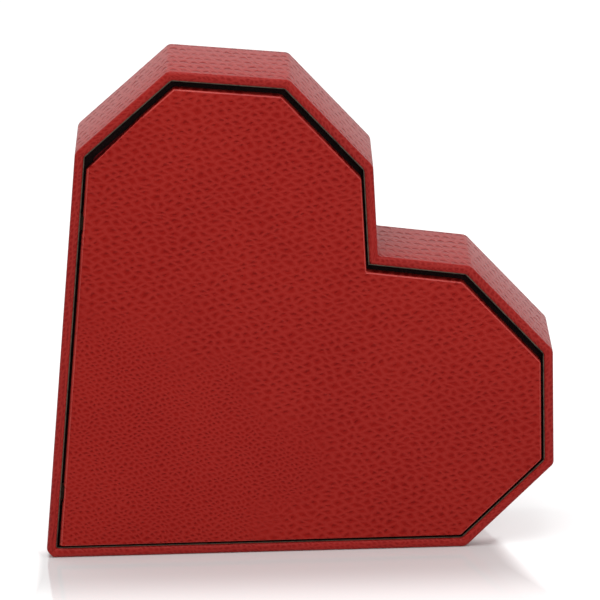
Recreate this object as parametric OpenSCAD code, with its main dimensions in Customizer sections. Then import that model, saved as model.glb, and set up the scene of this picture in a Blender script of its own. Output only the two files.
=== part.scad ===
// Wind up music box in a faceted heart case, stood on its straight lower side.
// The case is drawn lying on its back, with the point of the heart at x = 0, y = 0
// and the lid facing +z. stand() then sets it upright with the lid facing -y.

/* [Heart outline] */
// Length of the two straight sides that meet at the point
side_len = 150; // [130:1:180]
// Angle between the two straight sides
tip_angle = 84; // [78:1:90]
// Length of the first facet of each lobe, next to the straight side
facet_1 = 43.8; // [38:0.2:50]
// Length of the middle facet of each lobe
facet_2 = 42.4; // [38:0.2:50]
// Length of the last facet of each lobe, next to the notch
facet_3 = 42.8; // [38:0.2:48]
// Turn from the straight side to the first facet
turn_1 = 43.5; // [40:0.5:46]
// Turn from the first facet to the middle one
turn_2 = 46.3; // [43:0.5:48]
// Turn from the middle facet to the last one
turn_3 = 42.3; // [40:0.5:45]
// Turn from the last facet into the notch
turn_4 = 40.1; // [37:0.5:43]

/* [Case] */
// Depth of the case from the front rim to the rear rim
case_depth = 42; // [40:0.5:52]
// Thickness of the wrapped wall
wall_t = 3.2; // [2.6:0.1:4.5]
// Depth of the rear recess that hides the winding key
key_recess = 11; // [10.5:0.5:13]
// Thickness of the back panel
back_t = 2.5; // [2:0.1:3.5]
// Thickness of the padded frame that lines the wall and carries the lid
frame_t = 4.6; // [4.4:0.1:7]
// Thickness of the velvet pad on the floor
pad_t = 1; // [0.6:0.1:2]
// Thickness of the metal edging inside the rim
trim_t = 0.35; // [0.2:0.05:0.5]
// Width of the metal edging
trim_w = 3; // [2:0.1:3.2]
// Radius of the soft edge where the wrap turns over the front rim
rim_round = 1.1; // [0.6:0.1:1.4]
// Thickness of the compartment dividers
divider_t = 2; // [1.5:0.1:4]
// Height of the compartment dividers above the floor
divider_h = 17; // [12:0.5:20]

/* [Lid] */
// Thickness of the lid
lid_t = 4.4; // [4:0.1:5]
// Gap between the lid and the wall on the hinge side, the foot and the far lobe
lid_gap = 1.2; // [0.8:0.1:1.6]
// Gap along the sides where a fingernail lifts the lid
pull_gap = 2.9; // [2:0.1:3]
// Gap between the closed lid and the frame below it
lid_rest_gap = 0.25; // [0.15:0.05:0.3]
// Width of the lid's plain border around its lined recess
lid_border = 9; // [7:0.5:14]
// Radius of the soft edge round the face of the lid
lid_round = 0.8; // [0.4:0.1:1]
// Thickness of the velvet lining of the lid
lining_t = 0.7; // [0.5:0.1:0.9]
// Thickness of the mirror
mirror_t = 1.1; // [0.8:0.1:1.2]
// Width of the velvet margin around the mirror
mirror_margin = 9; // [5:0.5:15]

/* [Lid hinge] */
// Radius of the hinge pins
pin_r = 0.75; // [0.6:0.05:0.8]
// Radial clearance of the hinge pins in the lid
pin_fit = 0.05; // [0.02:0.01:0.08]
// Length of each hinge pin
pin_len = 17; // [15:0.5:22]
// Width of each hinge bracket along the pin
bracket_w = 6; // [4:0.5:8]
// Radius of the ear that holds the pin
ear_r = 1.5; // [1.3:0.05:1.5]
// Thickness of the neck that carries the ear
neck_t = 1.6; // [1.2:0.1:2]
// Distance of the lower hinge from the point of the heart
hinge_low = 24; // [20:1:40]
// Distance of the upper hinge from the point of the heart
hinge_high = 124; // [90:1:124]

/* [Movement place] */
// Distance of the movement's centre from the point, along the axis of the heart
movement_v = 94; // [91:1:97]
// Thickness of the chamber walls around the movement
chamber_t = 1.6; // [1.2:0.1:2]
// Thickness of the clear window over the movement
window_t = 1.2; // [1:0.1:1.3]
// Gap between the window and the closed lid
window_gap = 0.6; // [0.5:0.05:0.8]

/* [Movement] */
// Thickness of the bedplate
bed_t = 2; // [1.5:0.1:2.2]
// Outer radius of the spring housing
housing_r = 10.8; // [10.5:0.1:11]
// Height of the spring housing
housing_h = 7; // [6:0.1:7]
// Thickness of the spring housing's sheet metal
housing_t = 0.6; // [0.4:0.05:0.8]
// Radius of the winding arbor
arbor_r = 1.6; // [1.4:0.05:1.8]
// Radial clearance of the running shafts
shaft_fit = 0.05; // [0.02:0.01:0.08]
// Turns of the mainspring
spring_turns = 5; // [3:1:6]
// Thickness of the mainspring strip
spring_t = 0.35; // [0.25:0.05:0.5]

/* [Gears] */
// Module of the crown gear, its pinion and the worm wheel
crown_module = 0.5; // [0.48:0.01:0.52]
// Teeth of the crown gear on the great wheel
crown_teeth = 36; // [34:2:38]
// Teeth of the cylinder's pinion
pinion_teeth = 12; // [11:1:13]
// Thickness of the great wheel's plate
great_t = 1; // [0.8:0.1:1.2]
// Module of the cylinder's end gear and the pinion it drives
end_module = 0.4; // [0.38:0.01:0.42]
// Teeth of the cylinder's end gear
end_teeth = 30; // [28:1:31]
// Teeth of the pinion on the middle arbor
middle_teeth = 10; // [10:1:11]
// Thickness of the end gear
end_gear_t = 1; // [0.8:0.1:1.2]
// Teeth of the worm wheel
worm_teeth = 16; // [15:1:17]
// Starts of the worm
worm_starts = 2; // [2:1:2]
// Thickness of the worm wheel
worm_wheel_t = 0.8; // [0.6:0.1:1]

/* [Cylinder and comb] */
// Radius of the cylinder
cylinder_r = 6.4; // [6.2:0.1:6.5]
// Number of notes, which is also the number of comb teeth
notes = 18; // [12:1:18]
// Distance from one note to the next
note_pitch = 1.05; // [0.95:0.05:1.05]
// Length that the pins stand out
pin_out = 0.6; // [0.4:0.05:0.7]
// Radius of the pins
note_pin_r = 0.18; // [0.15:0.01:0.22]
// Pins in each note's ring
pins_per_note = 4; // [3:1:5]
// Gap between the pin tips and the comb
pluck_gap = 0.12; // [0.1:0.02:0.2]
// Free length of the lowest note's tooth
bass_len = 10.5; // [9.5:0.5:11]
// Free length of the highest note's tooth
treble_len = 6.5; // [6:0.5:8]
// Thickness of the comb teeth
tooth_t = 0.45; // [0.35:0.05:0.6]
// Thickness of the comb's base
comb_t = 1.3; // [1:0.1:1.6]
// Depth of the comb's base
comb_base = 5; // [4.5:0.5:6]

/* [Governor] */
// Radius of the worm's core
worm_core_r = 0.95; // [0.85:0.05:1]
// Radius of the fan
fan_r = 4.2; // [3.5:0.1:4.3]
// Height of the fan
fan_h = 4.2; // [3:0.2:4.4]
// Radius of the brake disc
disc_r = 3.2; // [3:0.1:3.4]

/* [Stop lever] */
// Travel of the stop lever in degrees
lever_travel = 6; // [4:0.5:7]
// Thickness of the stop lever
lever_t = 1.4; // [1:0.1:1.6]

/* [Key] */
// Span of the key's two wings
key_span = 24; // [20:1:28]
// Thickness of the wings
key_t = 1.4; // [1:0.1:1.8]
// Radius of the key's hub
hub_r = 2.8; // [2.4:0.1:3.4]

/* [Rolls] */
// Number of velvet ring rolls in the point of the heart
roll_count = 4; // [3:1:4]
// Diameter of one ring roll
roll_d = 8; // [7:0.5:8.5]

/* [Hidden] */
$fn = 48;
eps = 0.01;

// --- Outline of the heart -------------------------------------------------

function step(p, dir, len) = [p[0] + len * cos(dir), p[1] + len * sin(dir)];
// Mirror image of a point across the heart's own axis
function across(p) = [p[0] * cos(tip_angle) + p[1] * sin(tip_angle),
    p[0] * sin(tip_angle) - p[1] * cos(tip_angle)];
// Point where the line from p along dir meets the heart's axis
function on_axis(p, dir) = let (a = tip_angle / 2,
    t = (p[1] * cos(a) - p[0] * sin(a)) / (cos(dir) * sin(a) - sin(dir) * cos(a)))
    step(p, dir, t);

dir_1 = tip_angle - turn_1;
dir_2 = dir_1 - turn_2;
dir_3 = dir_2 - turn_3;
dir_4 = dir_3 - turn_4;
corner_1 = step([0, 0], tip_angle, side_len);
corner_2 = step(corner_1, dir_1, facet_1);
corner_3 = step(corner_2, dir_2, facet_2);
corner_4 = step(corner_3, dir_3, facet_3);
notch = on_axis(corner_4, dir_4);
heart = [[0, 0], corner_1, corner_2, corner_3, corner_4, notch,
    across(corner_4), across(corner_3), across(corner_2), across(corner_1)];
sides = len(heart);
notch_at = 5;

// Where the lines of two neighbouring sides meet once each side has moved inwards
function side_dir(i) = let (a = heart[i % sides], b = heart[(i + 1) % sides])
    atan2(b[1] - a[1], b[0] - a[0]);
function moved(i, d) = step(heart[i % sides], side_dir(i) - 90, d);
function meet(p, a, q, b) = let (t = ((q[0] - p[0]) * sin(b) - (q[1] - p[1]) * cos(b)) / sin(b - a))
    step(p, a, t);
function inset(d) = [for (i = [0 : sides - 1]) let (before = (i + sides - 1) % sides)
    meet(moved(before, d[before]), side_dir(before), moved(i, d[i]), side_dir(i))];
function same(d) = [for (i = [0 : sides - 1]) d];

// The sides that face up when the box stands have the wider gap
lid_gaps = [lid_gap, pull_gap, pull_gap, pull_gap, lid_gap,
    pull_gap, pull_gap, lid_gap, lid_gap, lid_gap];
lid_sides = [for (g = lid_gaps) wall_t + g];

heart_w = max([for (p = heart) p[0]]) - min([for (p = heart) p[0]]);
heart_x = min([for (p = heart) p[0]]) + heart_w / 2;

// --- Heights in the lying case --------------------------------------------

floor_z = key_recess + back_t;
lid_z = case_depth - lid_t;
frame_top = lid_z - lid_rest_gap;
inside_h = lid_z - floor_z;

module stand() {
    translate([-heart_x, case_depth / 2, 0]) rotate([90, 0, 0]) children();
}

module heart_plate(d, low, high) {
    translate([0, 0, low]) linear_extrude(high - low) polygon(inset(d));
}

// A strip of the given thickness around the inside of the outline
module heart_ring(d, thick, low, high) {
    difference() {
        heart_plate(d, low, high);
        heart_plate([for (g = d) g + thick], low - 1, high + 1);
    }
}

// Takes the sharp edge off the front of an outline, with one flat in place of a soft edge of
// radius r. Each side is cut past its corners, but not into the wall beyond the notch.
module soft_edge(d, r, first = 0) {
    leg = r * (2 - sqrt(2));
    wide = leg * sqrt(2);
    line = inset(d);
    for (i = [first : sides - 1]) {
        before = i == notch_at ? 0 : leg;
        after = i + 1 == notch_at ? 0 : leg;
        translate([line[i][0], line[i][1], case_depth]) rotate([0, 0, side_dir(i)]) rotate([45, 0, 0])
            translate([-before, -wide / 2, -wide / 2])
                cube([norm(line[(i + 1) % sides] - line[i]) + before + after, wide, wide]);
    }
}

// --- Case -----------------------------------------------------------------

module case_wall() {
    color("firebrick") stand() difference() {
        heart_ring(same(0), wall_t, 0, case_depth);
        soft_edge(same(0), rim_round);
    }
}

module case_back() {
    color("firebrick") stand() difference() {
        union() {
            heart_plate(same(wall_t), key_recess, floor_z);
            if (abs(sink) > eps) movement_at()
                chamber_block(min(0, sink) - back_t, max(0, sink), chamber_t + (sink > 0 ? back_t : 0));
        }
        movement_at() {
            if (sink > eps) chamber_block(0, sink + 1, chamber_t);
            if (sink < -eps) chamber_block(sink - back_t - 1, -back_t, chamber_t - back_t);
            translate([0, 0, -back_t - 1]) cylinder(r = arbor_hole_r, h = back_t + 2);
            for (p = screw_places)
                translate([p[0], p[1], -back_t - 1]) cylinder(r = screw_r, h = back_t + 2);
        }
    }
}

module rim_trim() {
    color("gold") stand()
        heart_ring(same(wall_t), trim_t, case_depth - rim_round - trim_w, case_depth - rim_round);
}

module lid_frame() {
    color("maroon") stand() difference() {
        heart_ring(same(wall_t), frame_t, floor_z, frame_top);
        for (s = [hinge_low, hinge_high])
            hinge_at(s) translate([-hinge_x - 1, -bracket_w / 2 - bracket_room, -bracket_drop - bracket_room])
                cube([hinge_x + 1 + frame_t + wall_t, bracket_w + 2 * bracket_room, case_depth]);
        catch_at(frame_top - magnet_h) cylinder(r = catch_r, h = magnet_h + 1);
    }
}

module floor_pad() {
    color("maroon") stand() difference() {
        heart_plate(same(wall_t + frame_t), floor_z, floor_z + pad_t);
        movement_at() chamber_block(min(0, sink) - 1, max(0, sink) + pad_t + 1, chamber_t);
    }
}

// --- Lid hinge ------------------------------------------------------------

hinge_x = wall_t + lid_gap + lid_t / 2;
hinge_z = case_depth - lid_t / 2;
slot_room = 0.25;
bracket_room = 0.4;
bracket_drop = 11;
bracket_gap = 0.8;
big = 400;

// Frame on the hinge line: +x into the case, +y up the straight side
module hinge_at(s) {
    rotate([0, 0, tip_angle - 90]) translate([hinge_x, s, hinge_z]) children();
}

module hinge_rod(r, len) {
    rotate([90, 0, 0]) cylinder(r = r, h = len, center = true);
}

module hinge_bracket(s) {
    low = -lid_t / 2 - bracket_gap;
    stand() hinge_at(s) difference() {
        union() {
            translate([-lid_gap - lid_t / 2, -bracket_w / 2, -bracket_drop])
                cube([lid_gap + lid_t / 2 + ear_r, bracket_w, bracket_drop + low]);
            translate([-neck_t / 2, -bracket_w / 2, low - 1])
                cube([neck_t, bracket_w, 1 - low]);
            hinge_rod(ear_r, bracket_w);
        }
        hinge_rod(pin_r, bracket_w + 2);
    }
}

module hinge_bracket_low() {
    color("gold") hinge_bracket(hinge_low);
}

module hinge_bracket_high() {
    color("gold") hinge_bracket(hinge_high);
}

module hinge_pin_low() {
    color("gold") stand() hinge_at(hinge_low) hinge_rod(pin_r, pin_len);
}

module hinge_pin_high() {
    color("gold") stand() hinge_at(hinge_high) hinge_rod(pin_r, pin_len);
}

// --- Lid ------------------------------------------------------------------

// Where the lid's upper corner lies along the hinge line. The lid's shoulder is eased back
// there, over ease_len, to clear the rim when the lid stands open.
lid_corner = inset(lid_sides)[1];
lid_end = lid_corner[0] * cos(tip_angle) + lid_corner[1] * sin(tip_angle);
ease_back = 1.7;
// How far the flat part of the lid runs into its rounded hinge edge
edge_overlap = 0.3;
ease_len = 16;

module shoulder_cut() {
    meet_y = lid_end + (ease_len + lid_t / 2) / tan(turn_1);
    slope = (meet_y - lid_end + ease_back) / (ease_len + lid_t / 2);
    translate([0, 0, -lid_t]) linear_extrude(2 * lid_t) polygon([
        [-lid_t, lid_end - ease_back - slope * lid_t / 2], [ease_len, meet_y], [-lid_t, meet_y]]);
}

lid_inside = [for (g = lid_sides) g + lid_border];
lid_mirror_sides = [for (g = lid_inside) g + mirror_margin];

// The slot that lets the hinge ear and its neck in while the lid turns
module ear_slot() {
    reach = neck_t / 2 + slot_room;
    wide = bracket_w + 2 * slot_room;
    edge = lid_t / 2 + 1;
    hinge_rod(ear_r + slot_room, wide);
    translate([-edge, -wide / 2, -edge]) cube([edge + reach, wide, edge]);
    translate([-edge, -wide / 2, -eps]) cube([edge, wide, reach + eps]);
}

module lid_panel() {
    color("firebrick") stand() difference() {
        union() {
            intersection() {
                heart_plate(lid_sides, lid_z, case_depth);
                hinge_at(0) translate([-edge_overlap, -big, -big]) cube(2 * big);
            }
            intersection() {
                heart_plate([for (i = [0 : sides - 1]) lid_sides[i] - (i == 0 ? 1 : 0)],
                    lid_z - 1, case_depth + 1);
                hinge_at(side_len / 2) hinge_rod(lid_t / 2, 2 * side_len);
            }
        }
        heart_plate(lid_inside, lid_z - 1, lid_z + mirror_t + lining_t);
        catch_at(lid_z - 1) cylinder(r = keeper_r, h = keeper_t + 1);
        for (s = [hinge_low, hinge_high]) hinge_at(s) {
            ear_slot();
            hinge_rod(pin_r + pin_fit, pin_len + 1);
        }
        hinge_at(0) shoulder_cut();
        soft_edge(lid_sides, lid_round, 1);
    }
}

module lid_lining() {
    color("maroon") stand() heart_plate(lid_inside, lid_z + mirror_t, lid_z + mirror_t + lining_t);
}

module lid_mirror() {
    color("silver") stand() heart_plate(lid_mirror_sides, lid_z, lid_z + mirror_t);
}

// --- Gears ----------------------------------------------------------------

// Outline of a gear with straight flanks: tooth 0 is centred on +x
function gear_outline(teeth, pitch_r, add, ded, half_t, lean) = [
    for (i = [0 : teeth - 1], c = [[-1, -ded], [-1, add], [1, add], [1, -ded]])
        let (r = pitch_r + c[1], a = 360 * i / teeth + c[0] * (half_t - c[1] * lean) / r * 180 / PI)
            [r * cos(a), r * sin(a)]];

module spur(teeth, module_mm, thick_share, h) {
    linear_extrude(h) polygon(gear_outline(teeth, teeth * module_mm / 2,
        tooth_add * module_mm, tooth_ded * module_mm,
        PI * module_mm * thick_share / 2, tooth_lean));
}

tooth_add = 0.8;
tooth_ded = 1.1;
tooth_lean = 0.32;
thin_tooth = 0.41;
worm_tooth = 0.34;
mesh_gap = 0.08;

// --- Places in the movement: origin on the winding arbor ------------------
// u runs along the cylinder, v towards the notch, w up from the floor

housing_top = bed_t + housing_h;
great_low = housing_top + 0.4;
great_top = great_low + great_t;
crown_r = crown_module * crown_teeth / 2;
crown_face = 2.2;
crown_add = tooth_add * crown_module;
crown_ded = tooth_ded * crown_module;
crown_tip = great_top + crown_ded + crown_add;
great_r = crown_r + crown_face / 2;
pinion_r = crown_module * pinion_teeth / 2;
axis_w = great_top + crown_ded + pinion_r + mesh_gap;
pinion_len = crown_face + 0.4;
pinion_u = crown_r - pinion_len / 2;

ear_t = 1.2;
ear_u = pinion_u - 0.4 - ear_t;
bridge_w = crown_tip + 0.5;
bridge_t = 1;
bridge_v = max(housing_r, great_r) + 1.2;
pivot_r = 1;

drum_u = housing_r + 1;
drum_len = notes * note_pitch + 1;
end_gear_u = drum_u + drum_len + 0.4;
end_r = end_module * end_teeth / 2;
middle_r = end_module * middle_teeth / 2;
middle_dist = end_r + middle_r + mesh_gap;
middle_angle = -30;
middle_v = middle_dist * cos(middle_angle);
middle_w = axis_w + middle_dist * sin(middle_angle);
middle_shaft_r = 0.8;
plate_t = 1.2;
plate_u = end_gear_u + end_gear_t + 1;

worm_pitch_r = worm_core_r + tooth_ded * crown_module;
worm_tip_r = worm_pitch_r + tooth_add * crown_module;
worm_wheel_r = crown_module * worm_teeth / 2;
worm_u = plate_u + plate_t + 3;
worm_v = middle_v + worm_wheel_r + worm_pitch_r + mesh_gap;
worm_lead = worm_starts * PI * crown_module;
worm_len = 7;
worm_low = middle_w - worm_len / 2;
governor_shaft_r = 0.7;
far_plate_u = worm_u + max(worm_wheel_t, 2) + 0.8;
disc_t = 0.6;
disc_w = worm_low + worm_len + 1.1;
fan_w = disc_w + disc_t + 0.5;
arm_w = fan_w + fan_h + 0.4;
arm_t = 1;

tip_v = cylinder_r + pin_out + pluck_gap;
comb_top = axis_w + tooth_t / 2;
comb_back = -tip_v - bass_len - comb_base;
comb_u = drum_u + 0.5;
comb_len = notes * note_pitch;
comb_screws = [comb_u + 3.6, comb_u + comb_len - 3.6];
comb_screw_v = comb_back + comb_base / 2;

bed_margin = 0.9;
bed_low = [-housing_r - bed_margin, comb_back - bed_margin];
bed_high = [far_plate_u + plate_t + 0.4, worm_v + 4.2];
chamber_low = [bed_low[0] - 0.6, bed_low[1] - 0.6];
chamber_high = [max(bed_high[0], worm_u + fan_r) + 0.6, worm_v + fan_r + 1];
movement_mid = [(chamber_low[0] + chamber_high[0]) / 2, (chamber_low[1] + chamber_high[1]) / 2];
screw_r = 1.4;
screw_places = [[bed_low[0] + 3.6, bed_low[1] + 3.6], [bed_high[0] - 3.6, bed_low[1] + 3.6],
    [bed_low[0] + 3.6, bed_high[1] - 3.2]];
arbor_hole_r = arbor_r + 1;

// The window lies right under the closed lid, and the movement hangs below it by its own height.
// Where its seat isn't level with the floor of the case, the back panel steps by sink to meet it.
head_gap = 1.01;
chamber_h = max(axis_w + cylinder_r + pin_out, arm_w + arm_t) + head_gap;
window_top = chamber_h + window_t;
deck_z = lid_z - window_gap - window_top;
sink = floor_z - deck_z;

module movement_at() {
    rotate([0, 0, tip_angle / 2 - 90]) translate([-movement_mid[0], movement_v - movement_mid[1], deck_z])
        children();
}

module deck() {
    stand() movement_at() children();
}

// Turns a shape so that its z lies along u, its x along v and its y along w
module along_u(u, v, w) {
    translate([u, v, w]) rotate([90, 0, 90]) children();
}

module chamber_block(low, high, grow) {
    translate([chamber_low[0] - grow, chamber_low[1] - grow, low])
        cube([chamber_high[0] - chamber_low[0] + 2 * grow,
            chamber_high[1] - chamber_low[1] + 2 * grow, high - low]);
}

// --- Magnetic catch, halfway up the side opposite the hinge ----------------

catch_side = 7;
catch_r = 1.5;
catch_in = wall_t + lid_gap + catch_r + 0.3;
magnet_h = 4;
keeper_r = 1.8;
keeper_t = 0.5;

module catch_at(z) {
    p = step(moved(catch_side, catch_in), side_dir(catch_side), facet_2 / 2);
    translate([p[0], p[1], z]) children();
}

module catch_magnet() {
    color("silver") stand() catch_at(frame_top - magnet_h) cylinder(r = catch_r, h = magnet_h);
}

module catch_keeper() {
    color("silver") stand() catch_at(lid_z) cylinder(r = keeper_r, h = keeper_t);
}

// --- Compartments -----------------------------------------------------------

pad_top = floor_z + pad_t;

module divider(low, size) {
    stand() intersection() {
        heart_plate(same(wall_t + frame_t), pad_top, pad_top + divider_h);
        rotate([0, 0, tip_angle / 2 - 90]) translate([low[0], low[1] + movement_v, floor_z])
            cube([size[0], size[1], inside_h]);
    }
}

chamber_half = [(chamber_high[0] - chamber_low[0]) / 2 + chamber_t,
    (chamber_high[1] - chamber_low[1]) / 2 + chamber_t];

module divider_left() {
    color("maroon") divider([-big, -chamber_half[1]], [big - chamber_half[0], divider_t]);
}

module divider_right() {
    color("maroon") divider([chamber_half[0], -chamber_half[1]], [big, divider_t]);
}

module divider_notch() {
    color("maroon") divider([-divider_t / 2, chamber_half[1]], [divider_t, big]);
}

// One velvet roll across the point of the heart, number 1 next to the chamber
module ring_roll(i) {
    from_point = movement_v - chamber_half[1] - (i - 0.5) * (roll_d + 0.4);
    if (i <= roll_count)
        color("maroon") stand() intersection() {
            heart_plate(same(wall_t + frame_t + 0.3), floor_z, case_depth);
            rotate([0, 0, tip_angle / 2 - 90]) translate([0, from_point, pad_top + roll_d / 2])
                rotate([0, 90, 0]) cylinder(d = roll_d, h = 2 * big, center = true);
        }
}

module ring_roll_1() { ring_roll(1); }
module ring_roll_2() { ring_roll(2); }
module ring_roll_3() { ring_roll(3); }
module ring_roll_4() { ring_roll(4); }

// --- Movement chamber -------------------------------------------------------

lever_h = 1.4;
brake_gap = 0.1;
pad_h = 0.9;
lever_top = disc_w - brake_gap - pad_h;
lever_w = lever_top - lever_h / 2;
plunger_arm = 8;
lever_u = comb_u + comb_len / 2 + 5;
plunger_u = lever_u - plunger_arm;
plunger_r = lever_t / 2;
plunger_gap = 0.25;
plunger_top = window_top + window_gap - plunger_gap;
lever_pin_r = 0.6;
fork_gap = 0.1;
fork_t = 1;

module movement_chamber() {
    color("maroon") deck() difference() {
        chamber_block(0, chamber_h, chamber_t);
        chamber_block(-1, chamber_h + 1, 0);
    }
}

module movement_window() {
    swing = (plunger_top - lever_w) * sin(lever_travel);
    color("azure") deck() difference() {
        chamber_block(chamber_h, window_top, chamber_t);
        translate([plunger_u - plunger_r - 0.5, worm_v - plunger_r - 0.4, chamber_h - 1])
            cube([2 * plunger_r + swing + 1, 2 * plunger_r + 0.8, window_t + 2]);
    }
}

module bedplate() {
    color("goldenrod") deck() difference() {
        translate([bed_low[0], bed_low[1], 0])
            cube([bed_high[0] - bed_low[0], bed_high[1] - bed_low[1], bed_t]);
        translate([0, 0, -1]) cylinder(r = arbor_r + shaft_fit, h = bed_t + 2);
        for (p = screw_places) translate([p[0], p[1], -1]) cylinder(r = screw_r, h = bed_t + 2);
    }
}

module movement_screw(p) {
    color("silver") deck() translate([p[0], p[1], 0]) difference() {
        union() {
            translate([0, 0, -back_t]) cylinder(r = screw_r, h = back_t + bed_t);
            translate([0, 0, -back_t - 1.2]) cylinder(r = 2 * screw_r, h = 1.2);
        }
        translate([-2 * screw_r - 1, -0.3, -back_t - 2]) cube([4 * screw_r + 2, 0.6, 1.4]);
    }
}

module movement_screw_1() { movement_screw(screw_places[0]); }
module movement_screw_2() { movement_screw(screw_places[1]); }
module movement_screw_3() { movement_screw(screw_places[2]); }

// --- Spring drive -----------------------------------------------------------

module spring_housing() {
    color("silver") deck() difference() {
        translate([0, 0, bed_t]) cylinder(r = housing_r, h = housing_h);
        translate([0, 0, bed_t - 1]) cylinder(r = housing_r - housing_t, h = housing_h + 1 - housing_t);
        cylinder(r = arbor_r + 0.3, h = housing_top + 1);
    }
}

// Half rings on two centres make the spiral: each turn grows by one pitch
module mainspring() {
    start = arbor_r + shaft_fit;
    pitch = (housing_r - housing_t - shaft_fit - spring_t - start) / spring_turns;
    color("slategray") deck() translate([0, 0, bed_t + 0.3])
        for (i = [0 : spring_turns - 1]) {
            half_ring(start + i * pitch, 0, 0);
            half_ring(start + (i + 0.5) * pitch, pitch / 2, 180);
        }
}

module half_ring(r, x, turn) {
    translate([x, 0, 0]) rotate([0, 0, turn]) rotate_extrude(angle = 180)
        translate([r, 0]) square([spring_t, housing_h - housing_t - 0.6]);
}

hub_top = -back_t - 0.8;
hub_grip = 5;
ratchet_t = 0.7;
ratchet_w = great_top + 0.15;
arbor_top = ratchet_w + ratchet_t;

module winding_arbor() {
    color("silver") deck() {
        translate([0, 0, hub_top - hub_grip]) cylinder(r = arbor_r, h = arbor_top - hub_top + hub_grip);
        translate([0, 0, arbor_top - eps])
            cylinder(r = pivot_r - shaft_fit, h = bridge_w + bridge_t - arbor_top + eps);
    }
}

ratchet_teeth = 8;
ratchet_r = arbor_r + 2.5;
ratchet_root = arbor_r + 1.6;

function polar(r, a) = [r * cos(a), r * sin(a)];

module ratchet_wheel() {
    color("goldenrod") deck() translate([0, 0, ratchet_w]) difference() {
        linear_extrude(ratchet_t) polygon([for (i = [0 : ratchet_teeth - 1], r = [ratchet_root, ratchet_r])
            polar(r, 360 * i / ratchet_teeth)]);
        translate([0, 0, -1]) cylinder(r = arbor_r, h = ratchet_t + 2);
    }
}

stud = polar(crown_r - crown_face / 2 - 1.1, -46);
stud_r = 0.45;

// The click's point rests in a ratchet tooth and its eye turns on the stud
module ratchet_click() {
    color("slategray") deck() translate([0, 0, great_top + 0.1]) difference() {
        union() {
            linear_extrude(ratchet_t) polygon([polar(ratchet_root + 0.2, -1.5), polar(ratchet_r + 0.5, -1.5),
                [stud[0] + 0.6, stud[1]], [stud[0] - 0.75, stud[1]]]);
            translate([stud[0], stud[1], 0]) cylinder(r = 0.95, h = ratchet_t);
        }
        translate([stud[0], stud[1], -1]) cylinder(r = stud_r + shaft_fit, h = ratchet_t + 2);
    }
}

module great_wheel() {
    root = great_top - 0.3;
    half = PI * crown_module * thin_tooth / 2;
    color("gold") deck() difference() {
        union() {
            translate([0, 0, great_low]) cylinder(r = great_r, h = great_t);
            translate([0, 0, housing_top + 0.05]) cylinder(r = ratchet_r, h = 1);
            translate([stud[0], stud[1], great_low]) cylinder(r = stud_r, h = great_t + ratchet_t + 0.2);
            for (i = [0 : crown_teeth - 1]) rotate([0, 0, 360 * i / crown_teeth])
                translate([crown_r - crown_face / 2, 0, root]) rotate([90, 0, 90])
                    linear_extrude(crown_face) polygon([
                        [-half - (great_top + crown_ded - root) * tooth_lean, 0],
                        [half + (great_top + crown_ded - root) * tooth_lean, 0],
                        [half - crown_add * tooth_lean, crown_tip - root],
                        [-half + crown_add * tooth_lean, crown_tip - root]]);
        }
        translate([0, 0, housing_top]) cylinder(r = arbor_r + shaft_fit, h = crown_tip);
        for (i = [0 : 4]) rotate([0, 0, 72 * i + 26]) translate([(ratchet_r + crown_r - crown_face / 2) / 2, 0, 0])
            cylinder(r = 1.2, h = crown_tip + 1);
    }
}

module spring_bridge() {
    wide = 4;
    ear_high = axis_w - bridge_w;
    color("goldenrod") deck() difference() {
        union() {
            translate([-wide, -bridge_v - plate_t, bridge_w])
                cube([wide + ear_u + ear_t, 2 * (bridge_v + plate_t), bridge_t]);
            for (side = [-1, 1]) {
                translate([-wide, side > 0 ? bridge_v : -bridge_v - plate_t, bed_t])
                    cube([2 * wide, plate_t, bridge_w - bed_t]);
                translate([-wide, side > 0 ? bridge_v : -bridge_v - plate_t - 2, bed_t])
                    cube([2 * wide, plate_t + 2, 1]);
            }
            translate([ear_u, -ear_high, bridge_w]) cube([ear_t, 2 * ear_high, ear_high]);
            along_u(ear_u, 0, axis_w) cylinder(r = ear_high, h = ear_t);
        }
        along_u(ear_u - 1, 0, axis_w) cylinder(r = pivot_r + shaft_fit, h = ear_t + 2);
        translate([0, 0, bridge_w - 1]) cylinder(r = pivot_r, h = bridge_t + 2);
    }
}

// --- Pinned cylinder and comb -----------------------------------------------

pin_steps = 72;

// Each note has its own ring of pins, spread by a rising and falling scale
module cylinder_drum() {
    color("gold") deck() along_u(drum_u, 0, axis_w) difference() {
        union() {
            cylinder(r = cylinder_r, h = drum_len);
            for (i = [0 : notes - 1], k = [0 : pins_per_note - 1])
                let (place = (5 * i + k * floor(pin_steps / pins_per_note) + 3 * (i % 4)) % pin_steps)
                    rotate([0, 0, place * 360 / pin_steps])
                        translate([cylinder_r - 0.4, 0, 0.5 + (i + 0.5) * note_pitch])
                            rotate([0, 90, 0]) cylinder(r = note_pin_r, h = pin_out + 0.4);
        }
        translate([0, 0, -1]) cylinder(r = pivot_r, h = drum_len + 2);
    }
}

module cylinder_arbor() {
    color("silver") deck() along_u(ear_u - 0.6, 0, axis_w)
        cylinder(r = pivot_r, h = plate_u + plate_t + 0.6 - ear_u + 0.6);
}

// A gap of the pinion faces down, over a tooth of the crown gear
module cylinder_pinion() {
    color("goldenrod") deck() along_u(pinion_u, 0, axis_w) difference() {
        rotate([0, 0, -90 + 180 / pinion_teeth]) spur(pinion_teeth, crown_module, thin_tooth, pinion_len);
        translate([0, 0, -1]) cylinder(r = pivot_r, h = pinion_len + 2);
    }
}

// Tooth 0 points at the middle arbor
module end_gear() {
    color("gold") deck() along_u(end_gear_u, 0, axis_w) difference() {
        rotate([0, 0, middle_angle]) spur(end_teeth, end_module, thin_tooth, end_gear_t);
        translate([0, 0, -1]) cylinder(r = pivot_r, h = end_gear_t + 2);
    }
}

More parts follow.
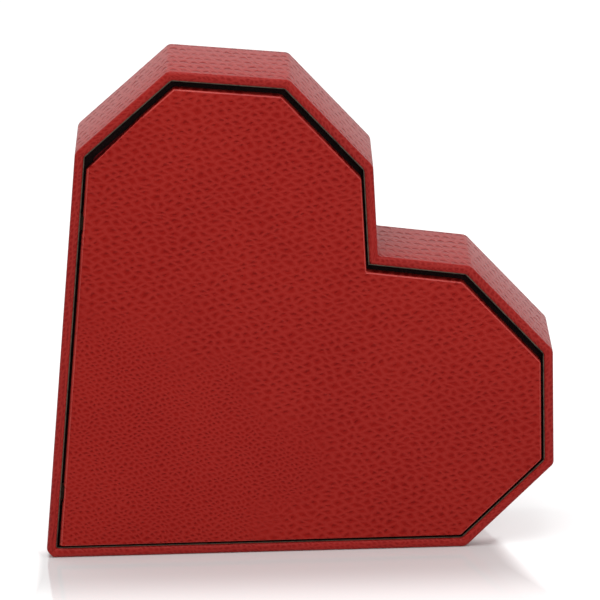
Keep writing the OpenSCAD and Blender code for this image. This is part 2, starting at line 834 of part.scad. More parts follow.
module comb() {
    fall = (bass_len - treble_len) / (notes - 1);
    color("lightsteelblue") deck() difference() {
        union() {
            translate([0, 0, comb_top - comb_t]) linear_extrude(comb_t) polygon([
                [comb_u, comb_back], [comb_u + comb_len, comb_back],
                [comb_u + comb_len, -tip_v - treble_len], [comb_u, -tip_v - bass_len]]);
            for (i = [0 : notes - 1])
                translate([comb_u + (i + 0.12) * note_pitch, -tip_v - bass_len + i * fall - 0.5, comb_top - tooth_t])
                    cube([0.76 * note_pitch, bass_len - i * fall + 0.5, tooth_t]);
        }
        for (u = comb_screws)
            translate([u, comb_screw_v, comb_top - comb_t - 1]) cylinder(r = pivot_r, h = comb_t + 2);
    }
}

module comb_block() {
    low = comb_back + 0.3;
    color("goldenrod") deck() difference() {
        translate([comb_u, low, bed_t]) cube([comb_len, comb_base - 0.3, comb_top - comb_t - bed_t]);
        for (u = comb_screws)
            translate([u, comb_screw_v, comb_top - comb_t - 5]) cylinder(r = pivot_r, h = 6);
    }
}

module comb_screw(u) {
    color("silver") deck() translate([u, comb_screw_v, comb_top]) difference() {
        union() {
            translate([0, 0, -comb_t - 4]) cylinder(r = pivot_r, h = comb_t + 4);
            cylinder(r = 1.9, h = 1.1);
        }
        translate([-3, -0.25, 0.5]) cube([6, 0.5, 1]);
    }
}

module comb_screw_1() { comb_screw(comb_screws[0]); }
module comb_screw_2() { comb_screw(comb_screws[1]); }

// --- Governor ---------------------------------------------------------------

// Two upright plates, a foot that joins them and an arm over the fan
module governor_frame() {
    foot_t = 1;
    post = 3;
    post_v = middle_v - 2 * post;
    edge = 2.5;
    high = middle_w + edge - 0.1;
    color("goldenrod") deck() difference() {
        union() {
            translate([plate_u, -3.5, bed_t]) cube([plate_t, middle_v + 6, high - bed_t]);
            translate([plate_u, -3, high - 1]) cube([plate_t, 6, axis_w - high + 1]);
            along_u(plate_u, 0, axis_w) cylinder(r = 3, h = plate_t);
            translate([plate_u, -3.5, bed_t]) cube([far_plate_u + plate_t - plate_u, 3, foot_t]);
            translate([plate_u, middle_v + 2.5, bed_t])
                cube([far_plate_u + plate_t - plate_u, worm_v + 2 - middle_v - 2.5, foot_t]);
            translate([far_plate_u, -3.5, bed_t]) cube([plate_t, worm_v + 5.5, foot_t]);
            translate([far_plate_u, post_v, bed_t]) cube([plate_t, 2 * post + edge, high - bed_t]);
            translate([far_plate_u, post_v, high - 1]) cube([plate_t, post, arm_w + arm_t - high + 1]);
            translate([worm_u - 2, post_v, arm_w])
                cube([far_plate_u + plate_t - worm_u + 2, post, arm_t]);
            translate([worm_u - 2, post_v, arm_w]) cube([4, worm_v - post_v, arm_t]);
            translate([worm_u, worm_v, arm_w]) cylinder(r = 2, h = arm_t);
        }
        along_u(plate_u - 1, 0, axis_w) cylinder(r = pivot_r + shaft_fit, h = plate_t + 2);
        along_u(plate_u - 1, middle_v, middle_w)
            cylinder(r = middle_shaft_r + shaft_fit, h = far_plate_u + plate_t + 2 - plate_u);
        translate([worm_u, worm_v, bed_t - 1]) cylinder(r = governor_shaft_r + shaft_fit, h = foot_t + 2);
        translate([worm_u, worm_v, arm_w - 1]) cylinder(r = governor_shaft_r + shaft_fit, h = arm_t + 2);
    }
}

module middle_arbor() {
    color("silver") deck() along_u(end_gear_u - 0.1, middle_v, middle_w)
        cylinder(r = middle_shaft_r, h = far_plate_u + plate_t + 0.2 - end_gear_u);
}

// A gap of the pinion faces the end gear's tooth 0
module middle_pinion() {
    wide = end_gear_t + 0.2;
    color("silver") deck() along_u(end_gear_u - 0.1, middle_v, middle_w) difference() {
        rotate([0, 0, 180 + middle_angle + 180 / middle_teeth]) spur(middle_teeth, end_module, thin_tooth, wide);
        translate([0, 0, -1]) cylinder(r = middle_shaft_r, h = wide + 2);
    }
}

// Tooth 0 points at the worm
module worm_wheel() {
    color("gold") deck() along_u(worm_u - worm_wheel_t / 2, middle_v, middle_w) difference() {
        spur(worm_teeth, crown_module, worm_tooth, worm_wheel_t);
        translate([0, 0, -1]) cylinder(r = middle_shaft_r, h = worm_wheel_t + 2);
    }
}

// A worm whose threads leave a gap on the wheel's side at the height of its axis
module governor_worm() {
    lobe = 0.3 * 180 / worm_starts;
    twist = 360 * worm_len / worm_lead;
    color("silver") deck() translate([worm_u, worm_v, 0]) {
        translate([0, 0, worm_low]) rotate([0, 0, -90 + 180 / worm_starts - twist / 2])
            linear_extrude(worm_len, twist = -twist, slices = ceil(twist / 20))
                union() {
                    circle(r = worm_core_r, $fn = 16);
                    for (i = [0 : worm_starts - 1]) rotate(360 * i / worm_starts) polygon([
                        [0, 0],
                        polar(worm_core_r, -lobe - 12), polar(worm_tip_r, -lobe),
                        polar(worm_tip_r, -lobe / 3), polar(worm_tip_r, lobe / 3),
                        polar(worm_tip_r, lobe), polar(worm_core_r, lobe + 12)]);
                }
    }
}

module governor_shaft(low, high) {
    translate([worm_u, worm_v, low]) cylinder(r = governor_shaft_r, h = high - low);
}

module brake_disc() {
    color("goldenrod") deck() difference() {
        translate([worm_u, worm_v, disc_w]) cylinder(r = disc_r, h = disc_t);
        governor_shaft(disc_w - 1, disc_w + disc_t + 1);
    }
}

// Flat blade on the governor shaft, with its two ends folded back
module air_fan() {
    blade_t = 0.4;
    color("silver") deck() {
        governor_shaft(worm_low + worm_len, arm_w + arm_t - 0.1);
        translate([worm_u, worm_v, fan_w]) {
            translate([-fan_r + 0.4, -blade_t / 2, 0]) cube([2 * fan_r - 0.8, blade_t, fan_h]);
            translate([-fan_r + 0.4, -blade_t / 2, 0]) cube([blade_t, 1.6, fan_h]);
            translate([fan_r - 0.4 - blade_t, -1.6 + blade_t / 2, 0]) cube([blade_t, 1.6, fan_h]);
        }
    }
}

module governor_pivot() {
    color("silver") deck() governor_shaft(bed_t + 0.1, worm_low);
}

// --- Stop lever -------------------------------------------------------------

// The closed lid keeps the plunger down and the pad up against the brake disc
module stop_lever() {
    pad_end = worm_u - worm_core_r - 1.35;
    color("silver") deck() difference() {
        union() {
            translate([plunger_u - plunger_r, worm_v - lever_t / 2, lever_w - lever_h / 2])
                cube([pad_end - plunger_u + plunger_r, lever_t, lever_h]);
            translate([worm_u - disc_r - 0.6, worm_v - lever_t / 2, lever_top - eps])
                cube([pad_end - worm_u + disc_r + 0.6, lever_t, pad_h + eps]);
            translate([plunger_u, worm_v, lever_w]) cylinder(r = plunger_r, h = plunger_top - lever_w);
        }
        translate([lever_u, worm_v, lever_w]) rotate([90, 0, 0])
            cylinder(r = lever_pin_r + shaft_fit, h = lever_t + 2, center = true);
    }
}

module lever_fork() {
    inner = lever_t / 2 + fork_gap;
    color("goldenrod") deck() difference() {
        union() {
            translate([lever_u - 2, worm_v - inner - fork_t, bed_t]) cube([4, 2 * (inner + fork_t), 1]);
            for (v = [worm_v - inner - fork_t, worm_v + inner]) {
                translate([lever_u - 2, v, bed_t]) cube([4, fork_t, lever_w - bed_t]);
                translate([lever_u, v + fork_t, lever_w]) rotate([90, 0, 0]) cylinder(r = 2, h = fork_t);
            }
        }
        translate([lever_u, worm_v, lever_w]) rotate([90, 0, 0])
            cylinder(r = lever_pin_r, h = 2 * (inner + fork_t) + 2, center = true);
    }
}

module lever_pin() {
    len = lever_t + 2 * (fork_gap + fork_t) + 0.6;
    color("silver") deck() translate([lever_u, worm_v, lever_w]) rotate([90, 0, 0])
        cylinder(r = lever_pin_r, h = len, center = true);
}

// --- Winding key ------------------------------------------------------------

module winding_key() {
    key_low = -deck_z + 1.2;
    key_high = hub_top - 1.5;
    wing_r = (key_high - key_low) / 2;
    mid = (key_high + key_low) / 2;
    color("goldenrod") deck() difference() {
        union() {
            translate([0, 0, key_low]) cylinder(r = hub_r, h = hub_top - key_low);
            translate([0, key_t / 2, mid]) rotate([90, 0, 0]) linear_extrude(key_t) difference() {
                union() {
                    translate([-key_span / 2 + wing_r, -wing_r * 0.6])
                        square([key_span - 2 * wing_r, wing_r * 1.2]);
                    for (side = [-1, 1]) translate([side * (key_span / 2 - wing_r), 0]) circle(r = wing_r);
                }
                for (side = [-1, 1]) translate([side * (key_span / 2 - wing_r), 0]) circle(r = wing_r * 0.4);
            }
        }
        translate([0, 0, hub_top - hub_grip]) cylinder(r = arbor_r, h = hub_grip + 1);
    }
}

case_wall();
case_back();
rim_trim();
lid_frame();
floor_pad();
divider_left();
divider_right();
divider_notch();
hinge_bracket_low();
hinge_bracket_high();
hinge_pin_low();
hinge_pin_high();
lid_panel();
lid_lining();
lid_mirror();
catch_magnet();
catch_keeper();
ring_roll_1();
ring_roll_2();
ring_roll_3();
ring_roll_4();
movement_chamber();
movement_window();
bedplate();
spring_housing();
mainspring();
winding_arbor();
ratchet_wheel();
winding_key();
great_wheel();
ratchet_click();
spring_bridge();
cylinder_drum();
cylinder_arbor();
cylinder_pinion();
end_gear();
comb();
comb_block();
comb_screw_1();
comb_screw_2();
governor_frame();
middle_arbor();
middle_pinion();
worm_wheel();
governor_worm();
governor_pivot();
brake_disc();
air_fan();
stop_lever();
lever_fork();
lever_pin();
movement_screw_1();
movement_screw_2();
movement_screw_3();
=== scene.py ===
# %% [markdown]
# # A heart shaped music box, dressed over its working model
# The box is a wooden heart with straight facets, wrapped in red lizard grain leatherette, with a
# lid let in flush with its rim. The working model gives every piece its size and place. This
# lesson loads that model as a fixed frame, and then makes the wrapped, padded and polished pieces
# that cover it, each in the place that its plain solid holds.

# %% Load the frame
import math
import bpy
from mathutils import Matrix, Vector


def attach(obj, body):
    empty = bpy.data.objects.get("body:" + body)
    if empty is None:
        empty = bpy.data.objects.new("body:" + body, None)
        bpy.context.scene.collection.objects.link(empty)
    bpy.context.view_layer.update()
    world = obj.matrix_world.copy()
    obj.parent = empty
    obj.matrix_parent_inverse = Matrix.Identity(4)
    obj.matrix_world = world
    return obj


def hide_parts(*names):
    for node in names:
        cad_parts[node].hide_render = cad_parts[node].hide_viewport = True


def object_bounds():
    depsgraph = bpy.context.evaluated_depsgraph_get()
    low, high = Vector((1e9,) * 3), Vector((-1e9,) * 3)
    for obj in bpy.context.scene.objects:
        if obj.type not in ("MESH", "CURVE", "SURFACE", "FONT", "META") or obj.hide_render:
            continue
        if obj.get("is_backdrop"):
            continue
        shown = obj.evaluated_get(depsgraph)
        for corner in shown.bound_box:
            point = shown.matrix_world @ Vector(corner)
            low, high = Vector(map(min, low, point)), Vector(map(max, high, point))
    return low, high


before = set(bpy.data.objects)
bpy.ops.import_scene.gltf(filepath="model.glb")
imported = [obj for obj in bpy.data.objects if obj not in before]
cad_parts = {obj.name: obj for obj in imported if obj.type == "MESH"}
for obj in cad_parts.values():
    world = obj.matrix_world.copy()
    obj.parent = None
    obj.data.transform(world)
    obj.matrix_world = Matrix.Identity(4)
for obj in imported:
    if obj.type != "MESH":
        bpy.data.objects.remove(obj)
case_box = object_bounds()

# %% [markdown]
# A heart is easy to draw once its corners are known. Each lobe is a straight side from the point
# and three facets, and each facet turns by its own angle, so the corners come from lengths and
# turns, as a case maker would set them out on card. The same numbers drive the working model.

# %% Sizes and the outline of the heart
MM = 0.001
CORNERS = 10
SIDE = 150 * MM
TIP = math.radians(84)
FACETS = [43.8 * MM, 42.4 * MM, 42.8 * MM]
TURNS = [math.radians(t) for t in (43.5, 46.3, 42.3, 40.1)]
DEPTH = 42 * MM
WALL = 3.2 * MM
FRAME = 4.6 * MM
LID = 4.4 * MM
FLOOR = 13.5 * MM
PAD = 1 * MM
LEDGE = DEPTH - LID - 0.25 * MM


def step(p, heading, length):
    """The point that lies one length away along a heading."""
    return (p[0] + length * math.cos(heading), p[1] + length * math.sin(heading))


def across(p):
    """Mirror image of a point across the heart's own axis."""
    return (p[0] * math.cos(TIP) + p[1] * math.sin(TIP), p[0] * math.sin(TIP) - p[1] * math.cos(TIP))


def meet(p, a, q, b):
    """Where the line from p along heading a crosses the line from q along heading b."""
    t = ((q[0] - p[0]) * math.sin(b) - (q[1] - p[1]) * math.cos(b)) / math.sin(b - a)
    return step(p, a, t)


def heart_corners():
    """The ten corners, from the point up one lobe, over the notch and down the other."""
    lobe = [step((0, 0), TIP, SIDE)]
    heading = TIP
    for turn, length in zip(TURNS, FACETS):
        heading -= turn
        lobe.append(step(lobe[-1], heading, length))
    notch = meet(lobe[-1], heading - TURNS[3], (0, 0), TIP / 2)
    return [(0, 0)] + lobe + [notch] + [across(p) for p in reversed(lobe)]


HEART = heart_corners()
MIDDLE_X = (min(p[0] for p in HEART) + max(p[0] for p in HEART)) / 2


def heading_of(i):
    """The direction of the side that starts at a corner."""
    a, b = HEART[i % CORNERS], HEART[(i + 1) % CORNERS]
    return math.atan2(b[1] - a[1], b[0] - a[0])


def inset(distances):
    """The heart's outline with each side moved inwards by its own distance."""
    if not isinstance(distances, (list, tuple)):
        distances = [distances] * CORNERS
    moved = [step(HEART[i], heading_of(i) - math.pi / 2, distances[i]) for i in range(CORNERS)]
    return [meet(moved[i - 1], heading_of(i - 1), moved[i], heading_of(i)) for i in range(CORNERS)]


def stand(p, height):
    """A point of the lying heart, and its height above the rear rim, as a place in the room."""
    return Vector((p[0] - MIDDLE_X, DEPTH / 2 - height, p[1]))


print("heart:", [tuple(round(c / MM, 1) for c in p) for p in HEART])

# %% [markdown]
# The camera stands far back and looks down a little, through a long lens, so the straight sides
# of the heart stay straight. It comes first, because every later choice of detail is judged
# through it.

# %% Camera
LENS, SENSOR = 300, 36
CAMERA_PLACE = (-0.00884, -1.70713, 0.59626)
CAMERA_TURN = [math.radians(a) for a in (73.397, 1.374, -0.778)]

bpy.ops.object.camera_add(location=CAMERA_PLACE, rotation=CAMERA_TURN)
camera = bpy.context.object
camera.name = "camera"
camera.data.lens = LENS
camera.data.sensor_width = SENSOR
camera.data.clip_end = 20
bpy.context.scene.camera = camera
print("camera:", LENS, "mm lens at", CAMERA_PLACE)

# %% [markdown]
# Each finish of this box is built from shader nodes: noise, cells, steps and blends. These
# helpers add one node and wire it, so that a material can be read like a recipe. Effects that
# serve more than one finish become node groups with named inputs and outputs.

# %% Helpers for materials
def srgb(r, g, b):
    """A colour given as 0 to 255 screen values, in the linear values that a shader takes."""
    def linear(c):
        c = c / 255
        return c / 12.92 if c <= 0.04045 else ((c + 0.055) / 1.055) ** 2.4
    return (linear(r), linear(g), linear(b), 1.0)


def new_group(name, ins, outs):
    """A shader node group with named inputs (name, kind, value) and outputs (name, kind)."""
    group = bpy.data.node_groups.new(name, "ShaderNodeTree")
    for socket, kind, value in ins:
        made = group.interface.new_socket(socket, in_out="INPUT", socket_type="NodeSocket" + kind)
        if value is not None:
            made.default_value = value
    for socket, kind in outs:
        group.interface.new_socket(socket, in_out="OUTPUT", socket_type="NodeSocket" + kind)
    return group, group.nodes.new("NodeGroupInput"), group.nodes.new("NodeGroupOutput")


def plug(tree, node, inputs):
    """Links or sets each named or numbered input of a node."""
    for key, value in inputs.items():
        socket = node.inputs[key]
        if isinstance(value, bpy.types.NodeSocket):
            tree.links.new(value, socket)
        else:
            socket.default_value = value


def add(tree, kind, inputs=None, **settings):
    """Adds a node, sets its properties and plugs in its inputs."""
    node = tree.nodes.new("ShaderNode" + kind)
    for key, value in settings.items():
        setattr(node, key, value)
    plug(tree, node, inputs or {})
    return node


def fade(tree, value, low, high, to_low=0.0, to_high=1.0):
    """A smooth step of a value from one level to another."""
    node = add(tree, "MapRange", {"Value": value, "From Min": low, "From Max": high,
                                  "To Min": to_low, "To Max": to_high}, interpolation_type="SMOOTHSTEP")
    return node.outputs["Result"]


def calc(tree, operation, a, b=0.0):
    return add(tree, "Math", {0: a, 1: b}, operation=operation).outputs[0]


def blend_values(tree, share, a, b):
    return add(tree, "Mix", {"Factor": share, "A": a, "B": b}, data_type="FLOAT").outputs["Result"]


def blend_colours(tree, share, a, b):
    return add(tree, "Mix", {0: share, 6: a, 7: b}, data_type="RGBA").outputs[2]


def new_material(name):
    material = bpy.data.materials.new(name)
    material.use_nodes = True
    return material, material.node_tree, material.node_tree.nodes["Principled BSDF"]


print("material helpers ready")

# %% [markdown]
# The box stands on a plain white sheet that runs far out on every side. The light is soft and
# level: a bright room all round, a broad lamp overhead and a weaker one beside the camera. The
# glossy wrap then mirrors the white room at shallow angles, which gives its upward faces their
# pale sheen. The floor is pale gloss board, a little darker than white, so it keeps the shadow of
# the box and mirrors its foot. Outside a patch about the foot it also glows softly to rays that
# come straight from the eye, which lifts it to white further off and adds no light to the box. The
# patch is laid out on the floor itself: it starts fading in front of the box, ends soon behind it
# and at its left, and its right edge runs at a slant, away from the end of the foot.

# %% Room, lamps and floor
scene = bpy.context.scene
scene.view_settings.view_transform = "Standard"

ROOM_LIGHT, FAR_GLOW = 0.496, 0.4
FLOOR_GREY, FLOOR_ROUGH = 0.72, 0.1
FOOT_LEFT, FOOT_RIGHT, SLANT = -91 * MM, 61 * MM, 0.24
GLOW_FROM, GLOW_FULL = 38 * MM, 83 * MM
GLOW_BEHIND, GLOW_SIDE = 12 * MM, 5 * MM
room = bpy.data.worlds.new("room")
scene.world = room
room.use_nodes = True
room.node_tree.nodes.clear()


def seen_directly(tree):
    """1 for what the camera sees, straight or in metal or glass, and 0 for light on the object."""
    rays = add(tree, "LightPath").outputs
    seen = calc(tree, "MAXIMUM", rays["Is Camera Ray"], rays["Is Glossy Ray"])
    return calc(tree, "MAXIMUM", seen, rays["Is Transmission Ray"])


level = blend_values(room.node_tree, seen_directly(room.node_tree), ROOM_LIGHT, 1.0)
air = add(room.node_tree, "Background", {"Color": (1, 1, 1, 1), "Strength": level})
room.node_tree.links.new(air.outputs["Background"],
                         room.node_tree.nodes.new("ShaderNodeOutputWorld").inputs["Surface"])


def lamp(name, place, target, size, watts):
    """A square soft lamp that faces the target."""
    aim = (Vector(target) - Vector(place)).to_track_quat("-Z", "Y").to_euler()
    bpy.ops.object.light_add(type="AREA", location=place, rotation=aim)
    light = bpy.context.object
    light.name = name
    light.data.shape = "SQUARE"
    light.data.size = size
    light.data.energy = watts


lamp("overhead_lamp", (-0.15, -0.25, 1.1), (0, 0, 0.08), 0.9, 8.5)
lamp("front_lamp", (0.5, -1.3, 0.7), (0, 0, 0.08), 0.8, 6)

bpy.ops.mesh.primitive_plane_add(size=8, location=(0, 0, 0))
floor = bpy.context.object
floor.name = "floor"
paper, tree, gloss = new_material("white_floor")
place = add(tree, "SeparateXYZ", {0: add(tree, "TexCoord").outputs["Object"]}).outputs
before = fade(tree, place["Y"], -GLOW_FROM, -GLOW_FULL)
behind = fade(tree, place["Y"], -DEPTH / 2, -DEPTH / 2 + GLOW_BEHIND)
left_of = fade(tree, place["X"], FOOT_LEFT, FOOT_LEFT - GLOW_SIDE)
slanted = calc(tree, "ADD", place["X"], calc(tree, "MULTIPLY", place["Y"], SLANT))
right_of = fade(tree, slanted, FOOT_RIGHT, FOOT_RIGHT + 2 * GLOW_SIDE)
share = calc(tree, "MAXIMUM", calc(tree, "MAXIMUM", before, behind),
             calc(tree, "MAXIMUM", left_of, right_of))
glow = calc(tree, "MULTIPLY", calc(tree, "MULTIPLY", share, FAR_GLOW), seen_directly(tree))
plug(tree, gloss, {"Base Color": (FLOOR_GREY, FLOOR_GREY, FLOOR_GREY, 1), "Roughness": FLOOR_ROUGH,
                   "Specular IOR Level": 1.0, "Emission Color": (1, 1, 1, 1), "Emission Strength": glow})
floor.data.materials.append(paper)
floor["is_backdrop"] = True
print("room light", ROOM_LIGHT, "and 2 lamps over a white floor")

# %% [markdown]
# Modelling by hand means picking corners, edges or faces and then using a tool on them. These
# helpers do the picking in code, by place, so that each later step reads as one pick and one tool.
# A block in the shape of the heart starts as a filled circle of ten corners, whose corners are
# dragged to the outline and pulled back to its depth.

# %% Helpers for modelling
WELD = 0.01 * MM
LEVEL, UPRIGHT = 0.1, 0.9


def start_fresh():
    """Leaves edit mode and lets go of everything, so that an operator meets only the new piece."""
    if bpy.context.object and bpy.context.object.mode != "OBJECT":
        bpy.ops.object.mode_set(mode="OBJECT")
    bpy.ops.object.select_all(action="DESELECT")


def pick(piece, kind, test):
    """Selects the vertices, edges or polygons that pass the test, and stays in edit mode."""
    bpy.ops.object.mode_set(mode="OBJECT")
    mesh = piece.data
    for group in (mesh.vertices, mesh.edges, mesh.polygons):
        group.foreach_set("select", [False] * len(group))
    for item in getattr(mesh, kind):
        item.select = bool(test(item))
    kinds = ("vertices", "edges", "polygons")
    bpy.context.tool_settings.mesh_select_mode = [kind == k for k in kinds]
    bpy.ops.object.mode_set(mode="EDIT")


def middle(piece, edge):
    """The middle of an edge."""
    a, b = edge.vertices
    return (piece.data.vertices[a].co + piece.data.vertices[b].co) / 2


def along(piece, edge):
    """The direction of an edge."""
    a, b = edge.vertices
    return (piece.data.vertices[b].co - piece.data.vertices[a].co).normalized()


def edge_length(piece, edge):
    a, b = edge.vertices
    return (piece.data.vertices[b].co - piece.data.vertices[a].co).length


def soften(offset, segments):
    """Bevels the picked edges."""
    bpy.ops.mesh.bevel(offset=offset, segments=segments, affect="EDGES")


def settle(piece, smooth=35):
    """Applies the object's place, turns its faces outwards and smooths what is round."""
    bpy.ops.object.mode_set(mode="EDIT")
    bpy.ops.mesh.select_all(action="SELECT")
    bpy.ops.mesh.remove_doubles(threshold=WELD)
    bpy.ops.mesh.normals_make_consistent(inside=False)
    bpy.ops.object.mode_set(mode="OBJECT")
    bpy.ops.object.transform_apply(location=True, rotation=True, scale=True)
    bpy.ops.object.shade_smooth_by_angle(angle=math.radians(smooth))
    print(piece.name + ":", len(piece.data.polygons), "faces")


def outline_face(name, points, height):
    """A filled outline, lying across the depth of the box at a height above the rear rim."""
    start_fresh()
    bpy.ops.mesh.primitive_circle_add(vertices=len(points), radius=SIDE / 2, fill_type="NGON",
                                      rotation=(math.pi / 2, 0, 0))
    piece = bpy.context.object
    piece.name = name
    bpy.ops.object.transform_apply(location=True, rotation=True, scale=True)
    places = [piece.matrix_world @ v.co for v in piece.data.vertices]
    for i, p in enumerate(points):
        pick(piece, "vertices", lambda v: v.index == i)
        bpy.ops.transform.translate(value=stand(p, height) - places[i])
    bpy.ops.object.mode_set(mode="OBJECT")
    return piece


def outline_block(name, points, low, high):
    """A block of the outline's shape between two heights above the rear rim."""
    piece = outline_face(name, points, low)
    pick(piece, "polygons", lambda f: True)
    bpy.ops.mesh.extrude_region_move(TRANSFORM_OT_translate={"value": (0, low - high, 0)})
    bpy.ops.mesh.select_all(action="SELECT")
    bpy.ops.mesh.normals_make_consistent(inside=False)
    bpy.ops.object.mode_set(mode="OBJECT")
    return piece


def front_y(height):
    """The place in depth of a height above the rear rim."""
    return DEPTH / 2 - height


print("helpers ready")

# %% [markdown]
# The wall is a strip of board bent round the heart and wrapped in leatherette. The wrap turns
# over the front rim, so that edge is soft. The block is inset by the wall's thickness at both
# ends, the two middles are removed and the openings are bridged, which leaves a hollow wall.
# The sharp corner at the heart's point is cut off flat first. One bevel then goes over every edge
# that is still sharp, and gives the rims their turned edges and the corners the wrap's radius.

# %% Wrapped wall
RIM_ROUND, POINT_CUT = 1.1 * MM, 2.6 * MM
SHARP = math.radians(15)


def at_height(piece, edge, height):
    """True for an edge that lies at one height above the rear rim."""
    return abs(middle(piece, edge).y - front_y(height)) < WELD and abs(along(piece, edge).y) < LEVEL


def hollow_wall(name, outer, thickness, low, high):
    """A wall of even thickness between two heights, open at both ends."""
    piece = outline_block(name, outer, low, high)
    pick(piece, "polygons", lambda f: abs(f.normal.y) > UPRIGHT)
    bpy.ops.mesh.inset(thickness=thickness, use_even_offset=True)
    bpy.ops.mesh.delete(type="FACE")
    bpy.ops.mesh.select_all(action="DESELECT")
    bpy.ops.mesh.select_mode(type="EDGE")
    bpy.ops.mesh.select_non_manifold()
    bpy.ops.mesh.bridge_edge_loops()
    bpy.ops.object.mode_set(mode="OBJECT")
    return piece


def at_point(e):
    """True for the upright outer edge at the heart's point."""
    corner, centre = stand(HEART[0], 0), middle(case_wrap, e)
    near = math.hypot(centre.x - corner.x, centre.z - corner.z) < 0.1 * MM
    return near and abs(along(case_wrap, e).y) > UPRIGHT


case_wrap = hollow_wall("case_wrap", HEART, WALL, 0, DEPTH)
pick(case_wrap, "edges", at_point)
soften(POINT_CUT, 1)
pick(case_wrap, "edges", lambda e: False)
bpy.ops.mesh.edges_select_sharp(sharpness=SHARP)
soften(RIM_ROUND, 4)
settle(case_wrap)
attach(case_wrap, "case")
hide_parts("case_wall")

# %% [markdown]
# The wrap is paper backed leatherette, embossed with a small lizard grain: short pits in
# staggered rows, with low soft ridges between them. A Voronoi texture gives one cell to each
# scale. The distance to the middle of a cell makes the pit, and the distance to its border makes
# the ridge. The same grain covers wall, lid and back, so it is a node group whose inputs are the
# coordinates in millimetres and the size of a scale.

# %% Node group: lizard grain
SWAY, ROW_SHIFT, PIT_SAG = 4.0, 0.5, 1.3
PIT_LOW, RIDGE_HIGH, FINE_HIGH = -0.75, 0.14, 0.34
grain, g_in, g_out = new_group(
    "lizard_grain",
    [("Place", "Vector", None), ("Scale Width", "Float", 3.2), ("Scale Height", "Float", 2.6),
     ("Dash", "Float", 0.34), ("Dash Height", "Float", 0.21), ("Jitter", "Float", 0.5)],
    [("Height", "Float"), ("Pit", "Float"), ("Ridge", "Float")])
drift = add(grain, "TexNoise", {"Vector": g_in.outputs["Place"], "Scale": 0.11, "Detail": 2.0})
bent = add(grain, "VectorMath", {0: drift.outputs["Color"], 1: (0.5, 0.5, 0.5)}, operation="SUBTRACT")
swayed = add(grain, "VectorMath", {0: bent.outputs[0], 1: (SWAY, SWAY, SWAY), 2: g_in.outputs["Place"]},
             operation="MULTIPLY_ADD")
size = add(grain, "CombineXYZ", {"X": g_in.outputs["Scale Width"], "Y": g_in.outputs["Scale Height"],
                                 "Z": g_in.outputs["Scale Height"]})
cell_place = add(grain, "VectorMath", {0: swayed.outputs[0], 1: size.outputs[0]}, operation="DIVIDE")
straight = add(grain, "SeparateXYZ", {0: cell_place.outputs[0]})
row_shift = calc(grain, "MULTIPLY", straight.outputs["Y"], ROW_SHIFT)
staggered = add(grain, "CombineXYZ", {"X": calc(grain, "ADD", straight.outputs["X"], row_shift),
                                      "Y": straight.outputs["Y"]})
cells, borders = [add(grain, "TexVoronoi", {"Vector": staggered.outputs[0], "Scale": 1.0,
                                            "Randomness": g_in.outputs["Jitter"]},
                      voronoi_dimensions="2D", feature=feature) for feature in ("F1", "DISTANCE_TO_EDGE")]
from_pit = add(grain, "VectorMath", {0: staggered.outputs[0], 1: cells.outputs["Position"]},
               operation="SUBTRACT")
from_pit = add(grain, "SeparateXYZ", {0: from_pit.outputs[0]})
pit_across = calc(grain, "SUBTRACT", from_pit.outputs["X"],
                  calc(grain, "MULTIPLY", from_pit.outputs["Y"], ROW_SHIFT))
sag = calc(grain, "MULTIPLY", calc(grain, "MULTIPLY", pit_across, pit_across), PIT_SAG)
pit_up = calc(grain, "ADD", from_pit.outputs["Y"], calc(grain, "SUBTRACT", sag, 0.06))
reach = add(grain, "CombineXYZ", {"X": calc(grain, "DIVIDE", pit_across, g_in.outputs["Dash"]),
                                  "Y": calc(grain, "DIVIDE", pit_up, g_in.outputs["Dash Height"])})
pit_reach = add(grain, "VectorMath", {0: reach.outputs[0]}, operation="LENGTH").outputs["Value"]
pit_kind = add(grain, "SeparateXYZ", {0: cells.outputs["Color"]})
pit_size = fade(grain, pit_kind.outputs["X"], 0.0, 1.0, 0.62, 1.15)
depth_of_pit = fade(grain, calc(grain, "DIVIDE", pit_reach, pit_size), 0.2, 1.1, 1.0, 0.0)
uneven = add(grain, "TexNoise", {"Vector": cell_place.outputs[0], "Scale": 0.35, "Detail": 1.0})
pit = calc(grain, "MULTIPLY", depth_of_pit, fade(grain, uneven.outputs["Fac"], 0.3, 0.6, 0.35, 1.0))
ridge = fade(grain, borders.outputs["Distance"], 0.0, 0.36, 1.0, 0.0)
fine = add(grain, "TexNoise", {"Vector": cell_place.outputs[0], "Scale": 4.0, "Detail": 3.0})
height = calc(grain, "ADD", calc(grain, "MULTIPLY", pit, PIT_LOW),
              calc(grain, "MULTIPLY", ridge, RIDGE_HIGH))
height = calc(grain, "ADD", height, calc(grain, "MULTIPLY", fine.outputs["Fac"], FINE_HIGH))
plug(grain, g_out, {"Height": height, "Pit": pit, "Ridge": ridge})
print("group:", grain.name, len(grain.nodes), "nodes")

# %% [markdown]
# The leatherette itself is a deep warm red. It is darker in the pits, which is painted shade, and a
# little paler on the ridges, which is a painted highlight. It has no coat: each sheet has its own level
# of gloss, and the wall's is higher than the lid's, so that its upward faces take the pale sheen of
# the room. Its grain follows the wrap: the wall has a map laid out along its length, and the lid uses
# its own flat face, turned a little, as the sheet lay on the cutting table.

# %% Material: red leatherette
RED = srgb(142, 23, 17)
RED_DEEP = srgb(137, 19, 14)
# The pit colour is painted shade that darkens the pits.
RED_PIT_SHADE = srgb(108, 3, 2)
# The ridge colour is a painted highlight that lightens the ridges.
RED_RIDGE_HIGHLIGHT = srgb(166, 48, 42)


def lay_grain(tree, place, width, height, dash, jitter):
    """Lays the grain on coordinates in millimetres: size of a scale, half size of a pit, unevenness."""
    skin = add(tree, "Group", node_tree=grain)
    plug(tree, skin, {"Place": place, "Scale Width": width, "Scale Height": height, "Dash": dash[0],
                      "Dash Height": dash[1], "Jitter": jitter})
    return [skin.outputs[key] for key in ("Height", "Pit", "Ridge")]


